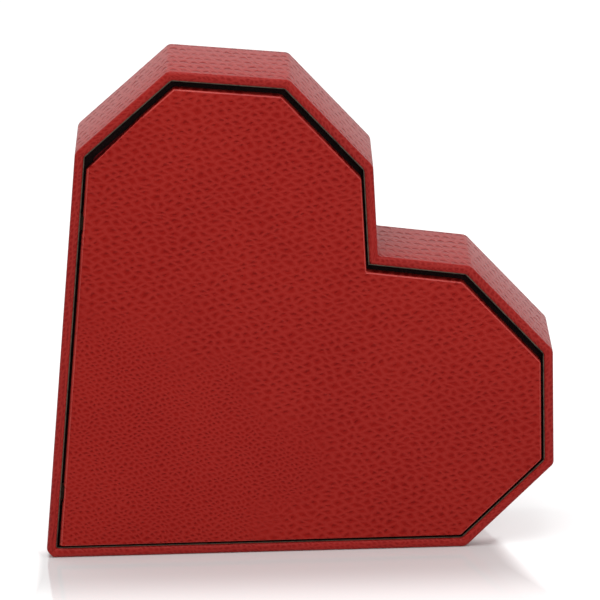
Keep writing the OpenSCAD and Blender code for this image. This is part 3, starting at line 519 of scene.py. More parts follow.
def leatherette(name, place, turn=0.0, width=3.3, height=2.5, dash=(0.34, 0.21), jitter=0.5, depth=0.22,
                gloss=0.06, tones=(RED_DEEP, RED), pit_shade=0.5, fine_corner=None, between=0.0):
    """Red lizard grain leatherette. place is "UV" or "Object", turn the lie of the grain.

    width, height and depth are a scale's, in millimetres, and dash is half the size of a pit.
    fine_corner (x, z, near, far) is a place, in millimetres, where the scales run smaller, and
    between is the strength of the small pits between the rows.
    """
    material, tree, shader = new_material(name)
    coordinates = add(tree, "TexCoord").outputs[place]
    if place == "Object":
        parts = add(tree, "SeparateXYZ", {0: coordinates})
        coordinates = add(tree, "CombineXYZ", {"X": parts.outputs["X"], "Y": parts.outputs["Z"],
                                               "Z": parts.outputs["Y"]}).outputs[0]
    flat = add(tree, "Mapping", {"Vector": coordinates, "Scale": (1 / MM, 1 / MM, 1 / MM)}).outputs[0]
    laid = add(tree, "Mapping", {"Vector": flat, "Rotation": (0, 0, turn)})
    grown = lay_grain(tree, laid.outputs[0], width, height, dash, jitter)
    if fine_corner:
        x, z, near, far = fine_corner
        away = add(tree, "VectorMath", {0: flat, 1: (x, z, 0)}, operation="SUBTRACT")
        away = add(tree, "VectorMath", {0: away.outputs[0], 1: (1, 1, 0)}, operation="MULTIPLY")
        distance = add(tree, "VectorMath", {0: away.outputs[0]}, operation="LENGTH").outputs["Value"]
        cloud = add(tree, "TexNoise", {"Vector": flat, "Scale": 0.03, "Detail": 2.0}).outputs["Fac"]
        wandering = calc(tree, "ADD", distance, calc(tree, "MULTIPLY", cloud, 80.0))
        share = fade(tree, wandering, near, far)
        small = lay_grain(tree, laid.outputs[0], 0.6 * width, 0.7 * height, dash, jitter)
        grown = [blend_values(tree, share, a, b) for a, b in zip(small, grown)]
    if between:
        small = lay_grain(tree, laid.outputs[0], 0.55 * width, 0.36 * height, (0.3, 0.24), 0.6)
        grown = [calc(tree, "ADD", a, calc(tree, "MULTIPLY", b, between)) for a, b in zip(grown, small)]
    relief, pits, ridges = grown
    mottle = add(tree, "TexNoise", {"Vector": flat, "Scale": 0.035, "Detail": 3.0})
    base = blend_colours(tree, fade(tree, mottle.outputs["Fac"], 0.3, 0.7), *tones)
    # Painted shade: the pits are darkened by colour.
    pit_shaded = blend_colours(tree, calc(tree, "MULTIPLY", pits, pit_shade), base, RED_PIT_SHADE)
    # Painted highlight: the ridges are lightened by colour.
    ridge_lit = blend_colours(tree, calc(tree, "MULTIPLY", ridges, 0.45), pit_shaded, RED_RIDGE_HIGHLIGHT)
    bump = add(tree, "Bump", {"Height": relief, "Distance": depth * MM, "Strength": 1.0})
    plug(tree, shader, {"Base Color": ridge_lit, "Roughness": blend_values(tree, pits, 0.40, 0.55),
                        "Normal": bump.outputs[0], "Specular IOR Level": gloss})
    return material


wall_leather = leatherette("leatherette_wall", "UV", height=6.2, dash=(0.56, 0.15), jitter=0.2,
                           depth=0.46, gloss=0.22, tones=(srgb(138, 13, 9), srgb(143, 16, 10)),
                           pit_shade=0.85, between=0.25)
rim_leather = leatherette("leatherette_rim", "UV", width=2.0, height=1.7, depth=0.12, gloss=0.12,
                          tones=(srgb(128, 14, 11), srgb(138, 19, 15)), pit_shade=0.15)
lid_leather = leatherette("leatherette_lid", "Object", turn=math.radians(-16), fine_corner=(-91, 0, 118, 142))
# A darker copy of the leather for the lid's side faces: painted shade of the gap round the lid.
lid_side_shade = leatherette("leatherette_gap_shade_side", "Object", tones=(srgb(96, 5, 5), srgb(104, 7, 6)))
# A paler, glossier copy of the leather for the lid's front edge: a painted highlight along the edge.
lid_edge_highlight = leatherette("leatherette_painted_edge_highlight", "Object", depth=0.1, gloss=0.35,
                       tones=(srgb(160, 40, 34), srgb(182, 62, 54)))
print("materials:", wall_leather.name, lid_leather.name)

# %% [markdown]
# The wall's map is worked out from its shape: the first direction runs round the heart, measured
# along the outline, and the second runs over the section, from the outer face over the rim and
# down the inner face. One millimetre of map is one millimetre of wrap, so the grain keeps its
# size everywhere and its rows follow the edges.

# %% Map of the wall
AROUND = sum(math.dist(HEART[i], HEART[(i + 1) % CORNERS]) for i in range(CORNERS))


def round_the_heart(p):
    """How far along the outline the nearest point lies, and how far in from it."""
    best = (math.inf, 0, 0)
    start = 0.0
    for i in range(CORNERS):
        a, heading = HEART[i], heading_of(i)
        length = math.dist(a, HEART[(i + 1) % CORNERS])
        dx, dz = p[0] - a[0], p[1] - a[1]
        run = dx * math.cos(heading) + dz * math.sin(heading)
        off = dx * math.sin(heading) - dz * math.cos(heading)
        miss = abs(off) + max(0, -run, run - length)
        if miss < best[0]:
            best = (miss, start + run, off)
        start += length
    return best[1], best[2]


def lay_wall_map(piece):
    """Gives each corner of each face its place on the wrap, and brings the last side round the seam."""
    mesh = piece.data
    while mesh.uv_layers:
        mesh.uv_layers.remove(mesh.uv_layers[0])
    layer = mesh.uv_layers.new(name="wrap")
    for face in mesh.polygons:
        centre, normal = face.center, face.normal
        u_mid, off_mid = round_the_heart((centre.x + MIDDLE_X, centre.z))
        radial = abs(normal.y) < 0.75
        inner = off_mid > WALL / 2
        for loop in face.loop_indices:
            co = mesh.vertices[mesh.loops[loop].vertex_index].co
            u, off = round_the_heart((co.x + MIDDLE_X, co.z))
            if abs(u - u_mid) > SIDE:
                u += math.copysign(AROUND, u_mid - u)
            if radial:
                v = co.y if not inner else -DEPTH - WALL - co.y
            else:
                v = math.copysign(DEPTH / 2 + off, co.y)
            layer.data[loop].uv = (u, v)


lay_wall_map(case_wrap)
case_wrap.data.materials.append(wall_leather)
case_wrap.data.materials.append(rim_leather)
RIM_FACING = -0.4
for face in case_wrap.data.polygons:
    if face.normal.y < RIM_FACING:
        face.material_index = 1
print("wall map laid,", len(case_wrap.data.uv_layers[0].data), "corners")

# %% [markdown]
# The lid is a thin board in the same heart shape, a little smaller than the rim, and wrapped all
# round. Its hinge edge is fully rounded, so that it turns between rim and ledge without rubbing,
# and its upper shoulder is eased for the same reason. It could be cut from the working model's
# mesh, but that has flat loose triangles, so the board is drawn again from its own outline and
# rounded with two bevels. The pockets for hinge and catch are then cut out with small blocks.

# %% Lid board
LID_GAP, PULL_GAP = 1.2 * MM, 2.9 * MM
LID_GAPS = [LID_GAP] + [PULL_GAP] * 3 + [LID_GAP] + [PULL_GAP] * 2 + [LID_GAP] * 3
LID_SIDES = [WALL + g for g in LID_GAPS]
LID_LOW = DEPTH - LID
LID_BORDER = 9 * MM
MIRROR = 1.1 * MM
LINING = 0.7 * MM
HINGE_IN = WALL + LID_GAP + LID / 2
HINGE_HEIGHT = DEPTH - LID / 2
HINGES = (24 * MM, 124 * MM)
EASE_BACK, EASE_RUN = 1.7 * MM, 16 * MM
EDGE_ROUND = 0.8 * MM
LEAN = TIP - math.pi / 2


def by_hinge(x, y):
    """A point of the lying heart from its distances off the hinge line and along it."""
    x += HINGE_IN
    return (x * math.cos(LEAN) - y * math.sin(LEAN), x * math.sin(LEAN) + y * math.cos(LEAN))


def from_hinge(co):
    """Distances off the hinge line, along it and above it, of a place in the room."""
    x, y = co.x + MIDDLE_X, co.z
    return (x * math.cos(LEAN) + y * math.sin(LEAN) - HINGE_IN, -x * math.sin(LEAN) + y * math.cos(LEAN),
            DEPTH / 2 - co.y - HINGE_HEIGHT)


lid_corners = inset(LID_SIDES)
lid_end = from_hinge(stand(lid_corners[1], 0))[1]
shoulder = [by_hinge(-LID / 2, lid_end - EASE_BACK),
            by_hinge(EASE_RUN, lid_end + (EASE_RUN + LID / 2) / math.tan(TURNS[0]))]
lid_outline = lid_corners[:1] + shoulder + lid_corners[2:]

lid_cover = outline_block("lid_cover", lid_outline, LID_LOW, DEPTH)
pick(lid_cover, "polygons", lambda f: f.normal.y > 0.99)
bpy.ops.mesh.inset(thickness=LID_BORDER, use_even_offset=True)
bpy.ops.mesh.extrude_region_move(TRANSFORM_OT_translate={"value": (0, -(MIRROR + LINING), 0)})


def is_hinge_edge(e):
    off = from_hinge(middle(lid_cover, e))[0]
    return abs(off + LID / 2) < 0.05 * MM and abs(along(lid_cover, e).y) < LEVEL


def is_outer_edge(e):
    """True for the front outline and for the corners that run right through the board."""
    through = abs(along(lid_cover, e).y) > UPRIGHT and edge_length(lid_cover, e) > 0.9 * LID
    return (at_height(lid_cover, e, DEPTH) or through) and from_hinge(middle(lid_cover, e))[0] > 0.5 * MM


pick(lid_cover, "edges", is_hinge_edge)
soften(0.48 * LID, 8)
pick(lid_cover, "edges", is_outer_edge)
soften(EDGE_ROUND, 4)
bpy.ops.object.mode_set(mode="OBJECT")
print("lid:", len(lid_cover.data.polygons), "faces, end of the hinge edge at", round(lid_end / MM, 2), "mm")

# %% [markdown]
# A pocket is a simple block or bar taken away from the board. Each cutter is placed by its
# distances off the hinge line, along it and above it, so the pockets stay where the brackets are.

# %% Pockets of the lid
BRACKET = 6 * MM
EAR = 1.5 * MM
NECK = 1.6 * MM
EAR_ROOM = 0.25 * MM
PIN = 0.8 * MM
PIN_RUN = 18 * MM
STEP_OFF = 0.03 * MM


def weld(piece):
    """Closes the seams that a cut leaves, where its new corners fall beside old ones."""
    pick(piece, "vertices", lambda v: True)
    bpy.ops.mesh.remove_doubles(threshold=WELD)
    bpy.ops.object.mode_set(mode="OBJECT")


def take_up(piece):
    """Leaves one piece selected and active, ready for a modifier."""
    start_fresh()
    bpy.context.view_layer.objects.active = piece
    piece.select_set(True)


def combine(piece, other, operation):
    """Cuts, crosses or joins the piece with another, which is used up."""
    take_up(piece)
    change = piece.modifiers.new("combine", "BOOLEAN")
    change.operation = operation
    change.solver = "EXACT"
    change.object = other
    bpy.ops.object.modifier_apply(modifier=change.name)
    bpy.data.objects.remove(other)
    weld(piece)


def cut(piece, cutter):
    combine(piece, cutter, "DIFFERENCE")


def block(centre, size, turn):
    """A block of a size, centred at a place and turned about the depth of the box."""
    start_fresh()
    bpy.ops.mesh.primitive_cube_add(size=1, location=centre, rotation=(0, -turn, 0), scale=size)
    made = bpy.context.object
    bpy.ops.object.transform_apply(location=True, rotation=True, scale=True)
    return made


def bar(centre, radius, length, direction, sides=24):
    """A round bar of a length, centred at a place and lying along a direction."""
    start_fresh()
    aim = Vector(direction).to_track_quat("Z", "Y").to_euler()
    bpy.ops.mesh.primitive_cylinder_add(vertices=sides, radius=radius, depth=length,
                                        location=centre, rotation=aim)
    made = bpy.context.object
    bpy.ops.object.transform_apply(location=True, rotation=True, scale=True)
    return made


HINGE_WAY = stand(by_hinge(0, 1), 0) - stand(by_hinge(0, 0), 0)
for run in HINGES:
    wide = BRACKET + 2 * EAR_ROOM
    reach = NECK / 2 + EAR_ROOM
    edge = LID / 2 + 1 * MM
    axis = stand(by_hinge(0, run), HINGE_HEIGHT)
    swing = reach + EAR_ROOM
    cut(lid_cover, bar(axis, PIN, PIN_RUN, HINGE_WAY, 16))
    cut(lid_cover, bar(axis, EAR + EAR_ROOM, wide + 2 * STEP_OFF, HINGE_WAY))
    cut(lid_cover, block(stand(by_hinge((reach - edge) / 2, run), HINGE_HEIGHT - edge / 2),
                         (edge + reach, edge + STEP_OFF, wide), LEAN))
    cut(lid_cover, block(stand(by_hinge(-edge / 2 - STEP_OFF, run), HINGE_HEIGHT + (swing - EAR_ROOM) / 2),
                         (edge, swing + EAR_ROOM, wide - 2 * STEP_OFF), LEAN))

CATCH, CATCH_DEEP = 1.8 * MM, 1.0 * MM
catch_mid = step(HEART[7], heading_of(7) - math.pi / 2, WALL + LID_GAP + CATCH)
catch_mid = step(catch_mid, heading_of(7), FACETS[1] / 2)
cut(lid_cover, bar(stand(catch_mid, LID_LOW), CATCH, CATCH_DEEP, (0, 1, 0)))
settle(lid_cover)
EDGE_FACING = (-0.88, -0.42)
for material in (lid_leather, lid_side_shade, lid_edge_highlight):
    lid_cover.data.materials.append(material)
# Faces that turn from the front to the side get the painted edge highlight.
for face in lid_cover.data.polygons:
    off = from_hinge(face.center)[0]
    if (off > EASE_RUN / 8 or off < 0) and EDGE_FACING[0] < face.normal.y < EDGE_FACING[1]:
        face.material_index = 2
    # Side faces get the painted shade of the gap.
    elif abs(face.normal.y) < -EDGE_FACING[1]:
        face.material_index = 1
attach(lid_cover, "lid")
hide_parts("lid_panel")

# %% [markdown]
# Inside the wall runs a ledge: a strip of board covered with velvet, which lines the wall and
# carries the closed lid. Velvet is a cut pile. Its fibres stand up and lean with the last stroke
# of a hand, so its colour shifts in soft clouds, and its edge glows where many fibre ends face
# the light. The pile is a node group that mixes cloud sized and fibre sized noise.

# %% Node group: velvet pile
pile, p_in, p_out = new_group(
    "velvet_pile",
    [("Place", "Vector", None), ("Shade", "Color", (0.2, 0.01, 0.01, 1)),
     ("Tip", "Color", (0.4, 0.05, 0.05, 1))],
    [("Colour", "Color"), ("Roughness", "Float"), ("Height", "Float")])
clouds = add(pile, "TexNoise", {"Vector": p_in.outputs["Place"], "Scale": 0.09, "Detail": 3.0,
                                "Distortion": 0.6})
stroke = fade(pile, clouds.outputs["Fac"], 0.38, 0.66)
squeezed = add(pile, "VectorMath", {0: p_in.outputs["Place"], 1: (5.0, 5.0, 2.2)}, operation="MULTIPLY")
fibres = add(pile, "TexNoise", {"Vector": squeezed.outputs[0], "Scale": 1.0, "Detail": 2.0})
fleck = fade(pile, fibres.outputs["Fac"], 0.35, 0.7)
lean = calc(pile, "ADD", calc(pile, "MULTIPLY", stroke, 0.55), calc(pile, "MULTIPLY", fleck, 0.45))
plug(pile, p_out, {"Colour": blend_colours(pile, lean, p_in.outputs["Shade"], p_in.outputs["Tip"]),
                   "Roughness": blend_values(pile, fleck, 0.95, 0.72),
                   "Height": calc(pile, "ADD", fleck, calc(pile, "MULTIPLY", stroke, 0.8))})


def in_millimetres(tree, turn=(0, 0, 0)):
    """The piece's own coordinates, in millimetres, turned if asked."""
    own = add(tree, "TexCoord").outputs["Object"]
    return add(tree, "Mapping", {"Vector": own, "Rotation": turn, "Scale": (1 / MM,) * 3}).outputs[0]


def velvet(name, shade, tip, sheen=0.6):
    material, tree, shader = new_material(name)
    cloth = add(tree, "Group", node_tree=pile)
    plug(tree, cloth, {"Place": in_millimetres(tree), "Shade": shade, "Tip": tip})
    bump = add(tree, "Bump", {"Height": cloth.outputs["Height"], "Distance": 0.12 * MM, "Strength": 0.8})
    plug(tree, shader, {"Base Color": cloth.outputs["Colour"], "Roughness": cloth.outputs["Roughness"],
                        "Normal": bump.outputs[0], "Specular IOR Level": 0.15, "Sheen Weight": sheen,
                        "Sheen Roughness": 0.35, "Sheen Tint": srgb(214, 96, 92)})
    return material


red_velvet = velvet("red_velvet", srgb(92, 10, 16), srgb(136, 24, 30))
print("velvet group:", len(pile.nodes), "nodes")

# %% [markdown]
# The ledge is a hollow wall like the outer one, with its top edges rounded by the padding under
# the velvet. Blocks cut the two hinge pockets, and a short bar cuts the seat of the catch magnet.
# The part that the lid closes on is dressed with a nearly black felt, which is painted shade, so
# the gap round the lid reads as a clean dark line.

# %% Velvet ledge
PADDED_ROUND = 1.3 * MM
BRACKET_DROP = 11 * MM
BRACKET_ROOM = 0.4 * MM

velvet_ledge = hollow_wall("velvet_ledge", inset(WALL), FRAME, FLOOR, LEDGE)
pick(velvet_ledge, "edges",
     lambda e: at_height(velvet_ledge, e, LEDGE) or abs(along(velvet_ledge, e).y) > UPRIGHT)
soften(PADDED_ROUND, 4)
for run in HINGES:
    low = HINGE_HEIGHT - BRACKET_DROP - BRACKET_ROOM
    cut(velvet_ledge, block(stand(by_hinge(0, run), low + DEPTH / 2),
                            (30 * MM, DEPTH, BRACKET + 2 * BRACKET_ROOM), LEAN))
cut(velvet_ledge, bar(stand(catch_mid, LEDGE - 2 * MM + 0.5 * MM), 1.5 * MM, 5 * MM, (0, 1, 0)))
settle(velvet_ledge)
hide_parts("lid_frame")


def finish_velvet(piece, body):
    piece.data.materials.append(red_velvet)
    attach(piece, body)


finish_velvet(velvet_ledge, "case")
# Nearly black felt on the ledge face under the lid's edge: painted shade of the gap round the lid.
gap_shade_felt = velvet("gap_shade_felt", srgb(16, 5, 6), srgb(30, 9, 10), sheen=0.05)
velvet_ledge.data.materials.append(gap_shade_felt)
GAP_SHADE_REACH = WALL + FRAME - PADDED_ROUND
for face in velvet_ledge.data.polygons:
    _, off = round_the_heart((face.center.x + MIDDLE_X, face.center.z))
    if off < GAP_SHADE_REACH + 0.1 * MM and face.normal.y < -0.1:
        face.material_index = 1

# %% [markdown]
# The middle of the box is laid out on the heart's own axis: the movement sits in a square well
# there, with boards running off its corners to make three compartments. Places on that layout
# are given across the axis and along it, and turned into places in the room.

# %% Well and dividers
MOVEMENT_UP = 94 * MM
WELL_HALF = (29.4 * MM, 22.5487 * MM)
WELL_WALL = 1.6 * MM
WELL_HIGH = 22.3 * MM
DIVIDER = 2 * MM
DIVIDER_HIGH = 17 * MM
PAD_TOP = FLOOR + PAD
AXIS_TURN = TIP / 2 - math.pi / 2


def on_axis(u, v):
    """A point of the lying heart from its distances across the heart's axis and along it."""
    return (u * math.cos(AXIS_TURN) - v * math.sin(AXIS_TURN),
            u * math.sin(AXIS_TURN) + v * math.cos(AXIS_TURN))


def well_outline():
    return [on_axis(u * WELL_HALF[0], MOVEMENT_UP + v * WELL_HALF[1])
            for u, v in ((-1, -1), (-1, 1), (1, 1), (1, -1))]


well = hollow_wall("movement_well", well_outline(), WELL_WALL, FLOOR, FLOOR + WELL_HIGH)
pick(well, "edges", lambda e: abs(middle(well, e).y - front_y(FLOOR)) > 0.1 * MM)
soften(0.5 * MM, 3)
settle(well)
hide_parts("movement_chamber")
finish_velvet(well, "case")


def divider(name, centre, size):
    """A velvet covered board that runs out to the ledge, with a soft upper edge."""
    middle_high = (PAD_TOP + PAD_TOP + DIVIDER_HIGH) / 2
    board = block(stand(on_axis(*centre), middle_high), (size[0], DIVIDER_HIGH, size[1]), AXIS_TURN)
    board.name = "velvet_" + name
    combine(board, outline_block("ledge_inside", inset(WALL + FRAME), 0, DEPTH), "INTERSECT")
    pick(board, "edges", lambda e: at_height(board, e, PAD_TOP + DIVIDER_HIGH))
    soften(0.8 * MM, 3)
    settle(board)
    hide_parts(name)
    finish_velvet(board, "case")


FAR = 90 * MM
side_v = MOVEMENT_UP - WELL_HALF[1] + DIVIDER / 2
divider("divider_left", (-WELL_HALF[0] - FAR / 2, side_v), (FAR, DIVIDER))
divider("divider_right", (WELL_HALF[0] + FAR / 2, side_v), (FAR, DIVIDER))
divider("divider_notch", (0, MOVEMENT_UP + WELL_HALF[1] + FAR / 2), (DIVIDER, FAR))

# %% [markdown]
# The metal of the box is thin stamped brass, plated steel and turned parts. Stock like this is
# drawn or rolled, so fine lines run along it, and handling leaves soft dull patches. One node
# group makes the lines, the patches and a tarnish that gathers unevenly. Each metal gives it its
# own colour and its own level of polish. The edging and the hinges are a dark finish made nearly
# black with painted shade, so that they sink into the gap round the lid.

# %% Node group: worked metal
metalwork, m_in, m_out = new_group(
    "worked_metal",
    [("Place", "Vector", None), ("Metal", "Color", (0.8, 0.6, 0.3, 1)),
     ("Tarnish", "Color", (0.3, 0.2, 0.1, 1)),
     ("Polish", "Float", 0.25), ("Tarnished", "Float", 0.3)],
    [("Colour", "Color"), ("Roughness", "Float"), ("Height", "Float")])
drawn = add(metalwork, "VectorMath", {0: m_in.outputs["Place"], 1: (0.4, 6.0, 6.0)}, operation="MULTIPLY")
lines = add(metalwork, "TexNoise", {"Vector": drawn.outputs[0], "Scale": 1.0, "Detail": 2.0})
patches = add(metalwork, "TexNoise", {"Vector": m_in.outputs["Place"], "Scale": 0.35, "Detail": 4.0,
                                      "Roughness": 0.6})
dull = fade(metalwork, patches.outputs["Fac"], 0.42, 0.72)
tarnish = calc(metalwork, "MULTIPLY", dull, m_in.outputs["Tarnished"])
worked = calc(metalwork, "MULTIPLY", calc(metalwork, "SUBTRACT", lines.outputs["Fac"], 0.5), 0.12)
rough = calc(metalwork, "ADD", m_in.outputs["Polish"], calc(metalwork, "MULTIPLY", dull, 0.14))
colour = blend_colours(metalwork, tarnish, m_in.outputs["Metal"], m_in.outputs["Tarnish"])
plug(metalwork, m_out, {"Colour": colour, "Roughness": calc(metalwork, "ADD", rough, worked),
                        "Height": lines.outputs["Fac"]})


def metal(name, colour, tarnish, polish, tarnished=0.4, lines=0.01):
    material, tree, shader = new_material(name)
    finish = add(tree, "Group", node_tree=metalwork)
    plug(tree, finish, {"Place": in_millimetres(tree), "Metal": colour, "Tarnish": tarnish,
                        "Polish": polish, "Tarnished": tarnished})
    bump = add(tree, "Bump", {"Height": finish.outputs["Height"], "Distance": lines * MM, "Strength": 0.6})
    plug(tree, shader, {"Base Color": finish.outputs["Colour"], "Roughness": finish.outputs["Roughness"],
                        "Normal": bump.outputs[0], "Metallic": 1.0})
    return material


# The edging and the hinges: dark metal, near black partly as painted shade of the gap round the lid.
antique_gilt_and_shade = metal("antique_gilt_and_shade", (0.08, 0.06, 0.045, 1), (0.03, 0.024, 0.02, 1), 0.45, 0.7)
bronzed_and_shade = metal("bronzed_brass_and_shade", (0.035, 0.02, 0.014, 1), (0.015, 0.01, 0.009, 1), 0.45, 0.7)
brass = metal("brass", (0.78, 0.53, 0.20, 1), (0.42, 0.25, 0.09, 1), 0.24)
gilt_plate = metal("gilt_plate", (0.86, 0.62, 0.27, 1), (0.55, 0.35, 0.13, 1), 0.30, lines=0.02)
blued_steel = metal("blued_steel", (0.20, 0.22, 0.27, 1), (0.09, 0.08, 0.08, 1), 0.26)
comb_steel = metal("comb_steel", (0.56, 0.57, 0.58, 1), (0.36, 0.35, 0.34, 1), 0.22, lines=0.02)
nickel = metal("nickel", (0.66, 0.64, 0.60, 1), (0.42, 0.40, 0.37, 1), 0.20)
lacquered_brass = metal("lacquered_brass", (0.80, 0.56, 0.24, 1), (0.50, 0.31, 0.12, 1), 0.16, 0.25)

NODE_FINISH = [
    ("brass", bronzed_and_shade, "hinge_bracket_low hinge_bracket_high hinge_pin_low hinge_pin_high"),
    ("brass", brass,
     "cylinder_drum end_gear great_wheel worm_wheel ratchet_wheel cylinder_pinion brake_disc"),
    ("gilt_plate", gilt_plate, "bedplate spring_bridge comb_block governor_frame lever_fork"),
    ("spring_steel", comb_steel, "comb"),
    ("spring_steel", blued_steel, "mainspring ratchet_click"),
    ("nickel", nickel,
     "winding_arbor cylinder_arbor middle_arbor middle_pinion spring_housing comb_screw_1 comb_screw_2 "
     "movement_screw_1 movement_screw_2 movement_screw_3 governor_worm governor_pivot air_fan "
     "stop_lever lever_pin catch_magnet catch_keeper"),
    ("gilt_trim", antique_gilt_and_shade, "rim_trim"),
]


def dress_node(name, material):
    """Gives a piece of the working model its finish, and leaves its shape as it is."""
    node = bpy.data.objects[name]
    node.data.materials.clear()
    node.data.materials.append(material)


for slot, material, names in NODE_FINISH:
    for name in names.split():
        dress_node(name, material)
print("metals on", sum(len(names.split()) for _, _, names in NODE_FINISH), "nodes")

# %% [markdown]
# The floor of the compartments is a thin pad of wadding under velvet. It is cut to the heart
# inside the ledge, with an opening for the well, and its edge is drawn down where the velvet is
# glued round it.

# %% Floor pad
floor_velvet = outline_block("floor_velvet", inset(WALL + FRAME), FLOOR, PAD_TOP)
cut(floor_velvet, outline_block("well_opening", well_outline(), 0, DEPTH))
pick(floor_velvet, "edges", lambda e: at_height(floor_velvet, e, PAD_TOP))
soften(0.45 * MM, 3)
settle(floor_velvet)
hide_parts("floor_pad")
finish_velvet(floor_velvet, "case")

# %% [markdown]
# Four ring rolls fill the point of the heart. Each is a strip of foam rolled in velvet, and a
# ring is held in the crease between two of them. A roll is a tube with many rings of corners.
# No one operator fits a tube between the two slanted sides of the case, so a loop sets every
# corner from a formula: the ends are tucked in, the tube is a little uneven where the foam is
# soft, and a shallow groove marks the seam along its underside.

# %% Ring rolls
ROLL = 8 * MM
ROLL_STEP = 8.4 * MM
ROLL_SIDES, ROLL_RINGS = 28, 64
ROLL_CLEAR = 8.1 * MM
TUCK = 1.8 * MM


def half_width(v):
    """Half the room across the heart's axis, at a distance from its point."""
    return v * math.tan(TIP / 2) - ROLL_CLEAR / math.cos(TIP / 2)


def roll_radius(t, run, number):
    """The radius of a roll at a share of its length: full in the middle and tucked at the ends."""
    from_end = min(t, 1 - t) * run / TUCK
    tucked = 1 if from_end >= 1 else 0.5 + 0.5 * math.sin(from_end * math.pi / 2)
    soft = math.sin(t * 9.1 + number * 1.7) * 0.012 + math.sin(t * 23.0 + number * 2.9) * 0.008
    return ROLL / 2 * tucked * (0.975 + soft)


def ring_roll(number):
    along_axis = side_v - DIVIDER / 2 - (number - 0.5) * ROLL_STEP
    run = 2 * half_width(along_axis)
    start_fresh()
    bpy.ops.mesh.primitive_cylinder_add(vertices=ROLL_SIDES, radius=ROLL / 2, depth=run)
    roll = bpy.context.object
    roll.name = "velvet_roll_" + str(number)
    pick(roll, "edges", lambda e: abs(along(roll, e).z) > 0.9)
    bpy.ops.mesh.subdivide(number_cuts=ROLL_RINGS)
    bpy.ops.object.mode_set(mode="OBJECT")
    for corner in roll.data.vertices:
        t = corner.co.z / run + 0.5
        turn = math.atan2(corner.co.y, corner.co.x)
        radius = roll_radius(t, run, number)
        seam = 0.08 * math.exp(-((abs(turn) - math.pi) / 0.16) ** 2)
        up, side = radius * (1 - seam) * math.cos(turn), radius * (1 - seam) * math.sin(turn)
        v = along_axis + side
        corner.co = stand(on_axis((2 * t - 1) * half_width(v), v), PAD_TOP + ROLL / 2 + up)
    settle(roll, 60)
    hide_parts("ring_roll_" + str(number))
    finish_velvet(roll, "case")


for number in (1, 2, 3, 4):
    ring_roll(number)

# %% [markdown]
# The lid is lined with velvet over card, and a heart shaped mirror is glued on it. The edge of
# the mirror is ground to a bevel, as cut mirrors are, so it takes a bright line from the room.

# %% Lid lining and mirror
MIRROR_MARGIN = 9 * MM
GROUND_EDGE = 2.6 * MM
GROUND_DEPTH = 0.45 * MM

lid_velvet = outline_block("lid_velvet", inset([s + LID_BORDER for s in LID_SIDES]), LID_LOW + MIRROR,
                           LID_LOW + MIRROR + LINING)
pick(lid_velvet, "edges", lambda e: at_height(lid_velvet, e, LID_LOW + MIRROR))
soften(0.3 * MM, 3)
settle(lid_velvet)
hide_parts("lid_lining")
finish_velvet(lid_velvet, "lid")

heart_mirror = outline_block("heart_mirror", inset([s + LID_BORDER + MIRROR_MARGIN for s in LID_SIDES]),
                             LID_LOW + GROUND_DEPTH, LID_LOW + MIRROR)
pick(heart_mirror, "polygons", lambda f: f.normal.y > 0.99)
bpy.ops.mesh.inset(thickness=GROUND_EDGE, depth=GROUND_DEPTH, use_even_offset=True)
settle(heart_mirror, 1)

silvered, tree, shader = new_material("silvered_glass")
smears = add(tree, "TexNoise", {"Vector": in_millimetres(tree), "Scale": 0.05, "Detail": 3.0})
silver = blend_colours(tree, smears.outputs["Fac"], (0.86, 0.88, 0.88, 1), (0.80, 0.83, 0.83, 1))
plug(tree, shader, {"Base Color": silver, "Metallic": 1.0,
                    "Roughness": fade(tree, smears.outputs["Fac"], 0.5, 0.8, 0.02, 0.07)})
heart_mirror.data.materials.append(silvered)
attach(heart_mirror, "lid")
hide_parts("lid_mirror")

# %% [markdown]
# The winding key is a wing key, stamped and turned in brass: a hub that grips the arbor, and two
# round wings with a hole for a fingertip's hold. It is built from turned bars and a web, joined,
# drilled, and then all its sharp edges are broken with a small bevel, as a tumbled key has them.

# %% Winding key
KEY_PLACE = on_axis(-15.5 * MM, 97.17126 * MM)
KEY_LOW, KEY_HIGH = 1.2 * MM, 10.2 * MM
KEY_HUB, KEY_THICK, KEY_SPAN = 2.8 * MM, 1.4 * MM, 24 * MM
KEY_GRIP, KEY_BORE = 5 * MM, 1.6 * MM
WING = (KEY_HIGH - 1.5 * MM - KEY_LOW) / 2
WING_OUT = KEY_SPAN / 2 - WING
UP_AXIS = stand(on_axis(0, 1), 0) - stand(on_axis(0, 0), 0)


def join(piece, other):
    combine(piece, other, "UNION")


def by_key(u, height):
    """A place on the key: so far out along its wings, at a height above the rear rim."""
    out = on_axis(u, 0)
    return stand((KEY_PLACE[0] + out[0], KEY_PLACE[1] + out[1]), height)


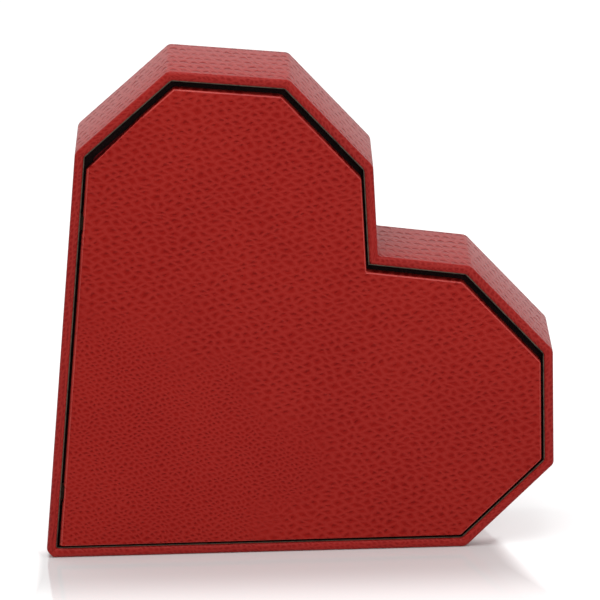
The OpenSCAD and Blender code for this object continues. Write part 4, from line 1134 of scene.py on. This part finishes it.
wing_key = bar(by_key(0, (KEY_LOW + KEY_HIGH) / 2), KEY_HUB, KEY_HIGH - KEY_LOW, (0, 1, 0), 40)
wing_key.name = "wing_key"
join(wing_key, block(by_key(0, KEY_LOW + WING), (2 * WING_OUT, 1.2 * WING, KEY_THICK), AXIS_TURN))
for side in (-1, 1):
    join(wing_key, bar(by_key(side * WING_OUT, KEY_LOW + WING), WING, KEY_THICK, UP_AXIS, 48))
for side in (-1, 1):
    cut(wing_key, bar(by_key(side * WING_OUT, KEY_LOW + WING), 0.4 * WING, 3 * KEY_THICK, UP_AXIS, 32))
cut(wing_key, bar(by_key(0, KEY_HIGH), KEY_BORE, 2 * KEY_GRIP, (0, 1, 0), 32))
take_up(wing_key)
broken = wing_key.modifiers.new("broken_edges", "BEVEL")
broken.width = 0.22 * MM
broken.segments = 3
broken.limit_method = "ANGLE"
broken.angle_limit = math.radians(40)
bpy.ops.object.modifier_apply(modifier=broken.name)
settle(wing_key, 40)
wing_key.data.materials.append(lacquered_brass)
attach(wing_key, "winder")
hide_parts("winding_key")

# %% [markdown]
# Over the movement lies a clear window, so that the comb and the pinned cylinder can be watched
# while the tune plays. The back of the case is a board wrapped in the same leatherette, with the
# key standing in a round recess.

# %% Window and back board
clear, tree, shader = new_material("clear_sheet")
marks = add(tree, "TexNoise", {"Vector": in_millimetres(tree), "Scale": 0.12, "Detail": 4.0})
tint = blend_colours(tree, marks.outputs["Fac"], (0.98, 0.99, 0.99, 1), (0.95, 0.97, 0.97, 1))
plug(tree, shader, {"Base Color": tint, "Transmission Weight": 1.0, "IOR": 1.49,
                    "Roughness": fade(tree, marks.outputs["Fac"], 0.5, 0.85, 0.03, 0.12)})

back_leather = leatherette("leatherette_back", "Object", turn=math.radians(20))
dress_node("movement_window", clear)
dress_node("case_back", back_leather)
print("window and back finished")

# %% [markdown]
# The last cell prints the room that the dressed box takes and the room that the working model
# takes, and hands the scene over.

# %% Hand over
visual_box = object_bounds()
for name, box in (("model", case_box), ("dressed", visual_box)):
    print(name, "box in mm:", [[round(c / MM, 2) for c in corner] for corner in box])
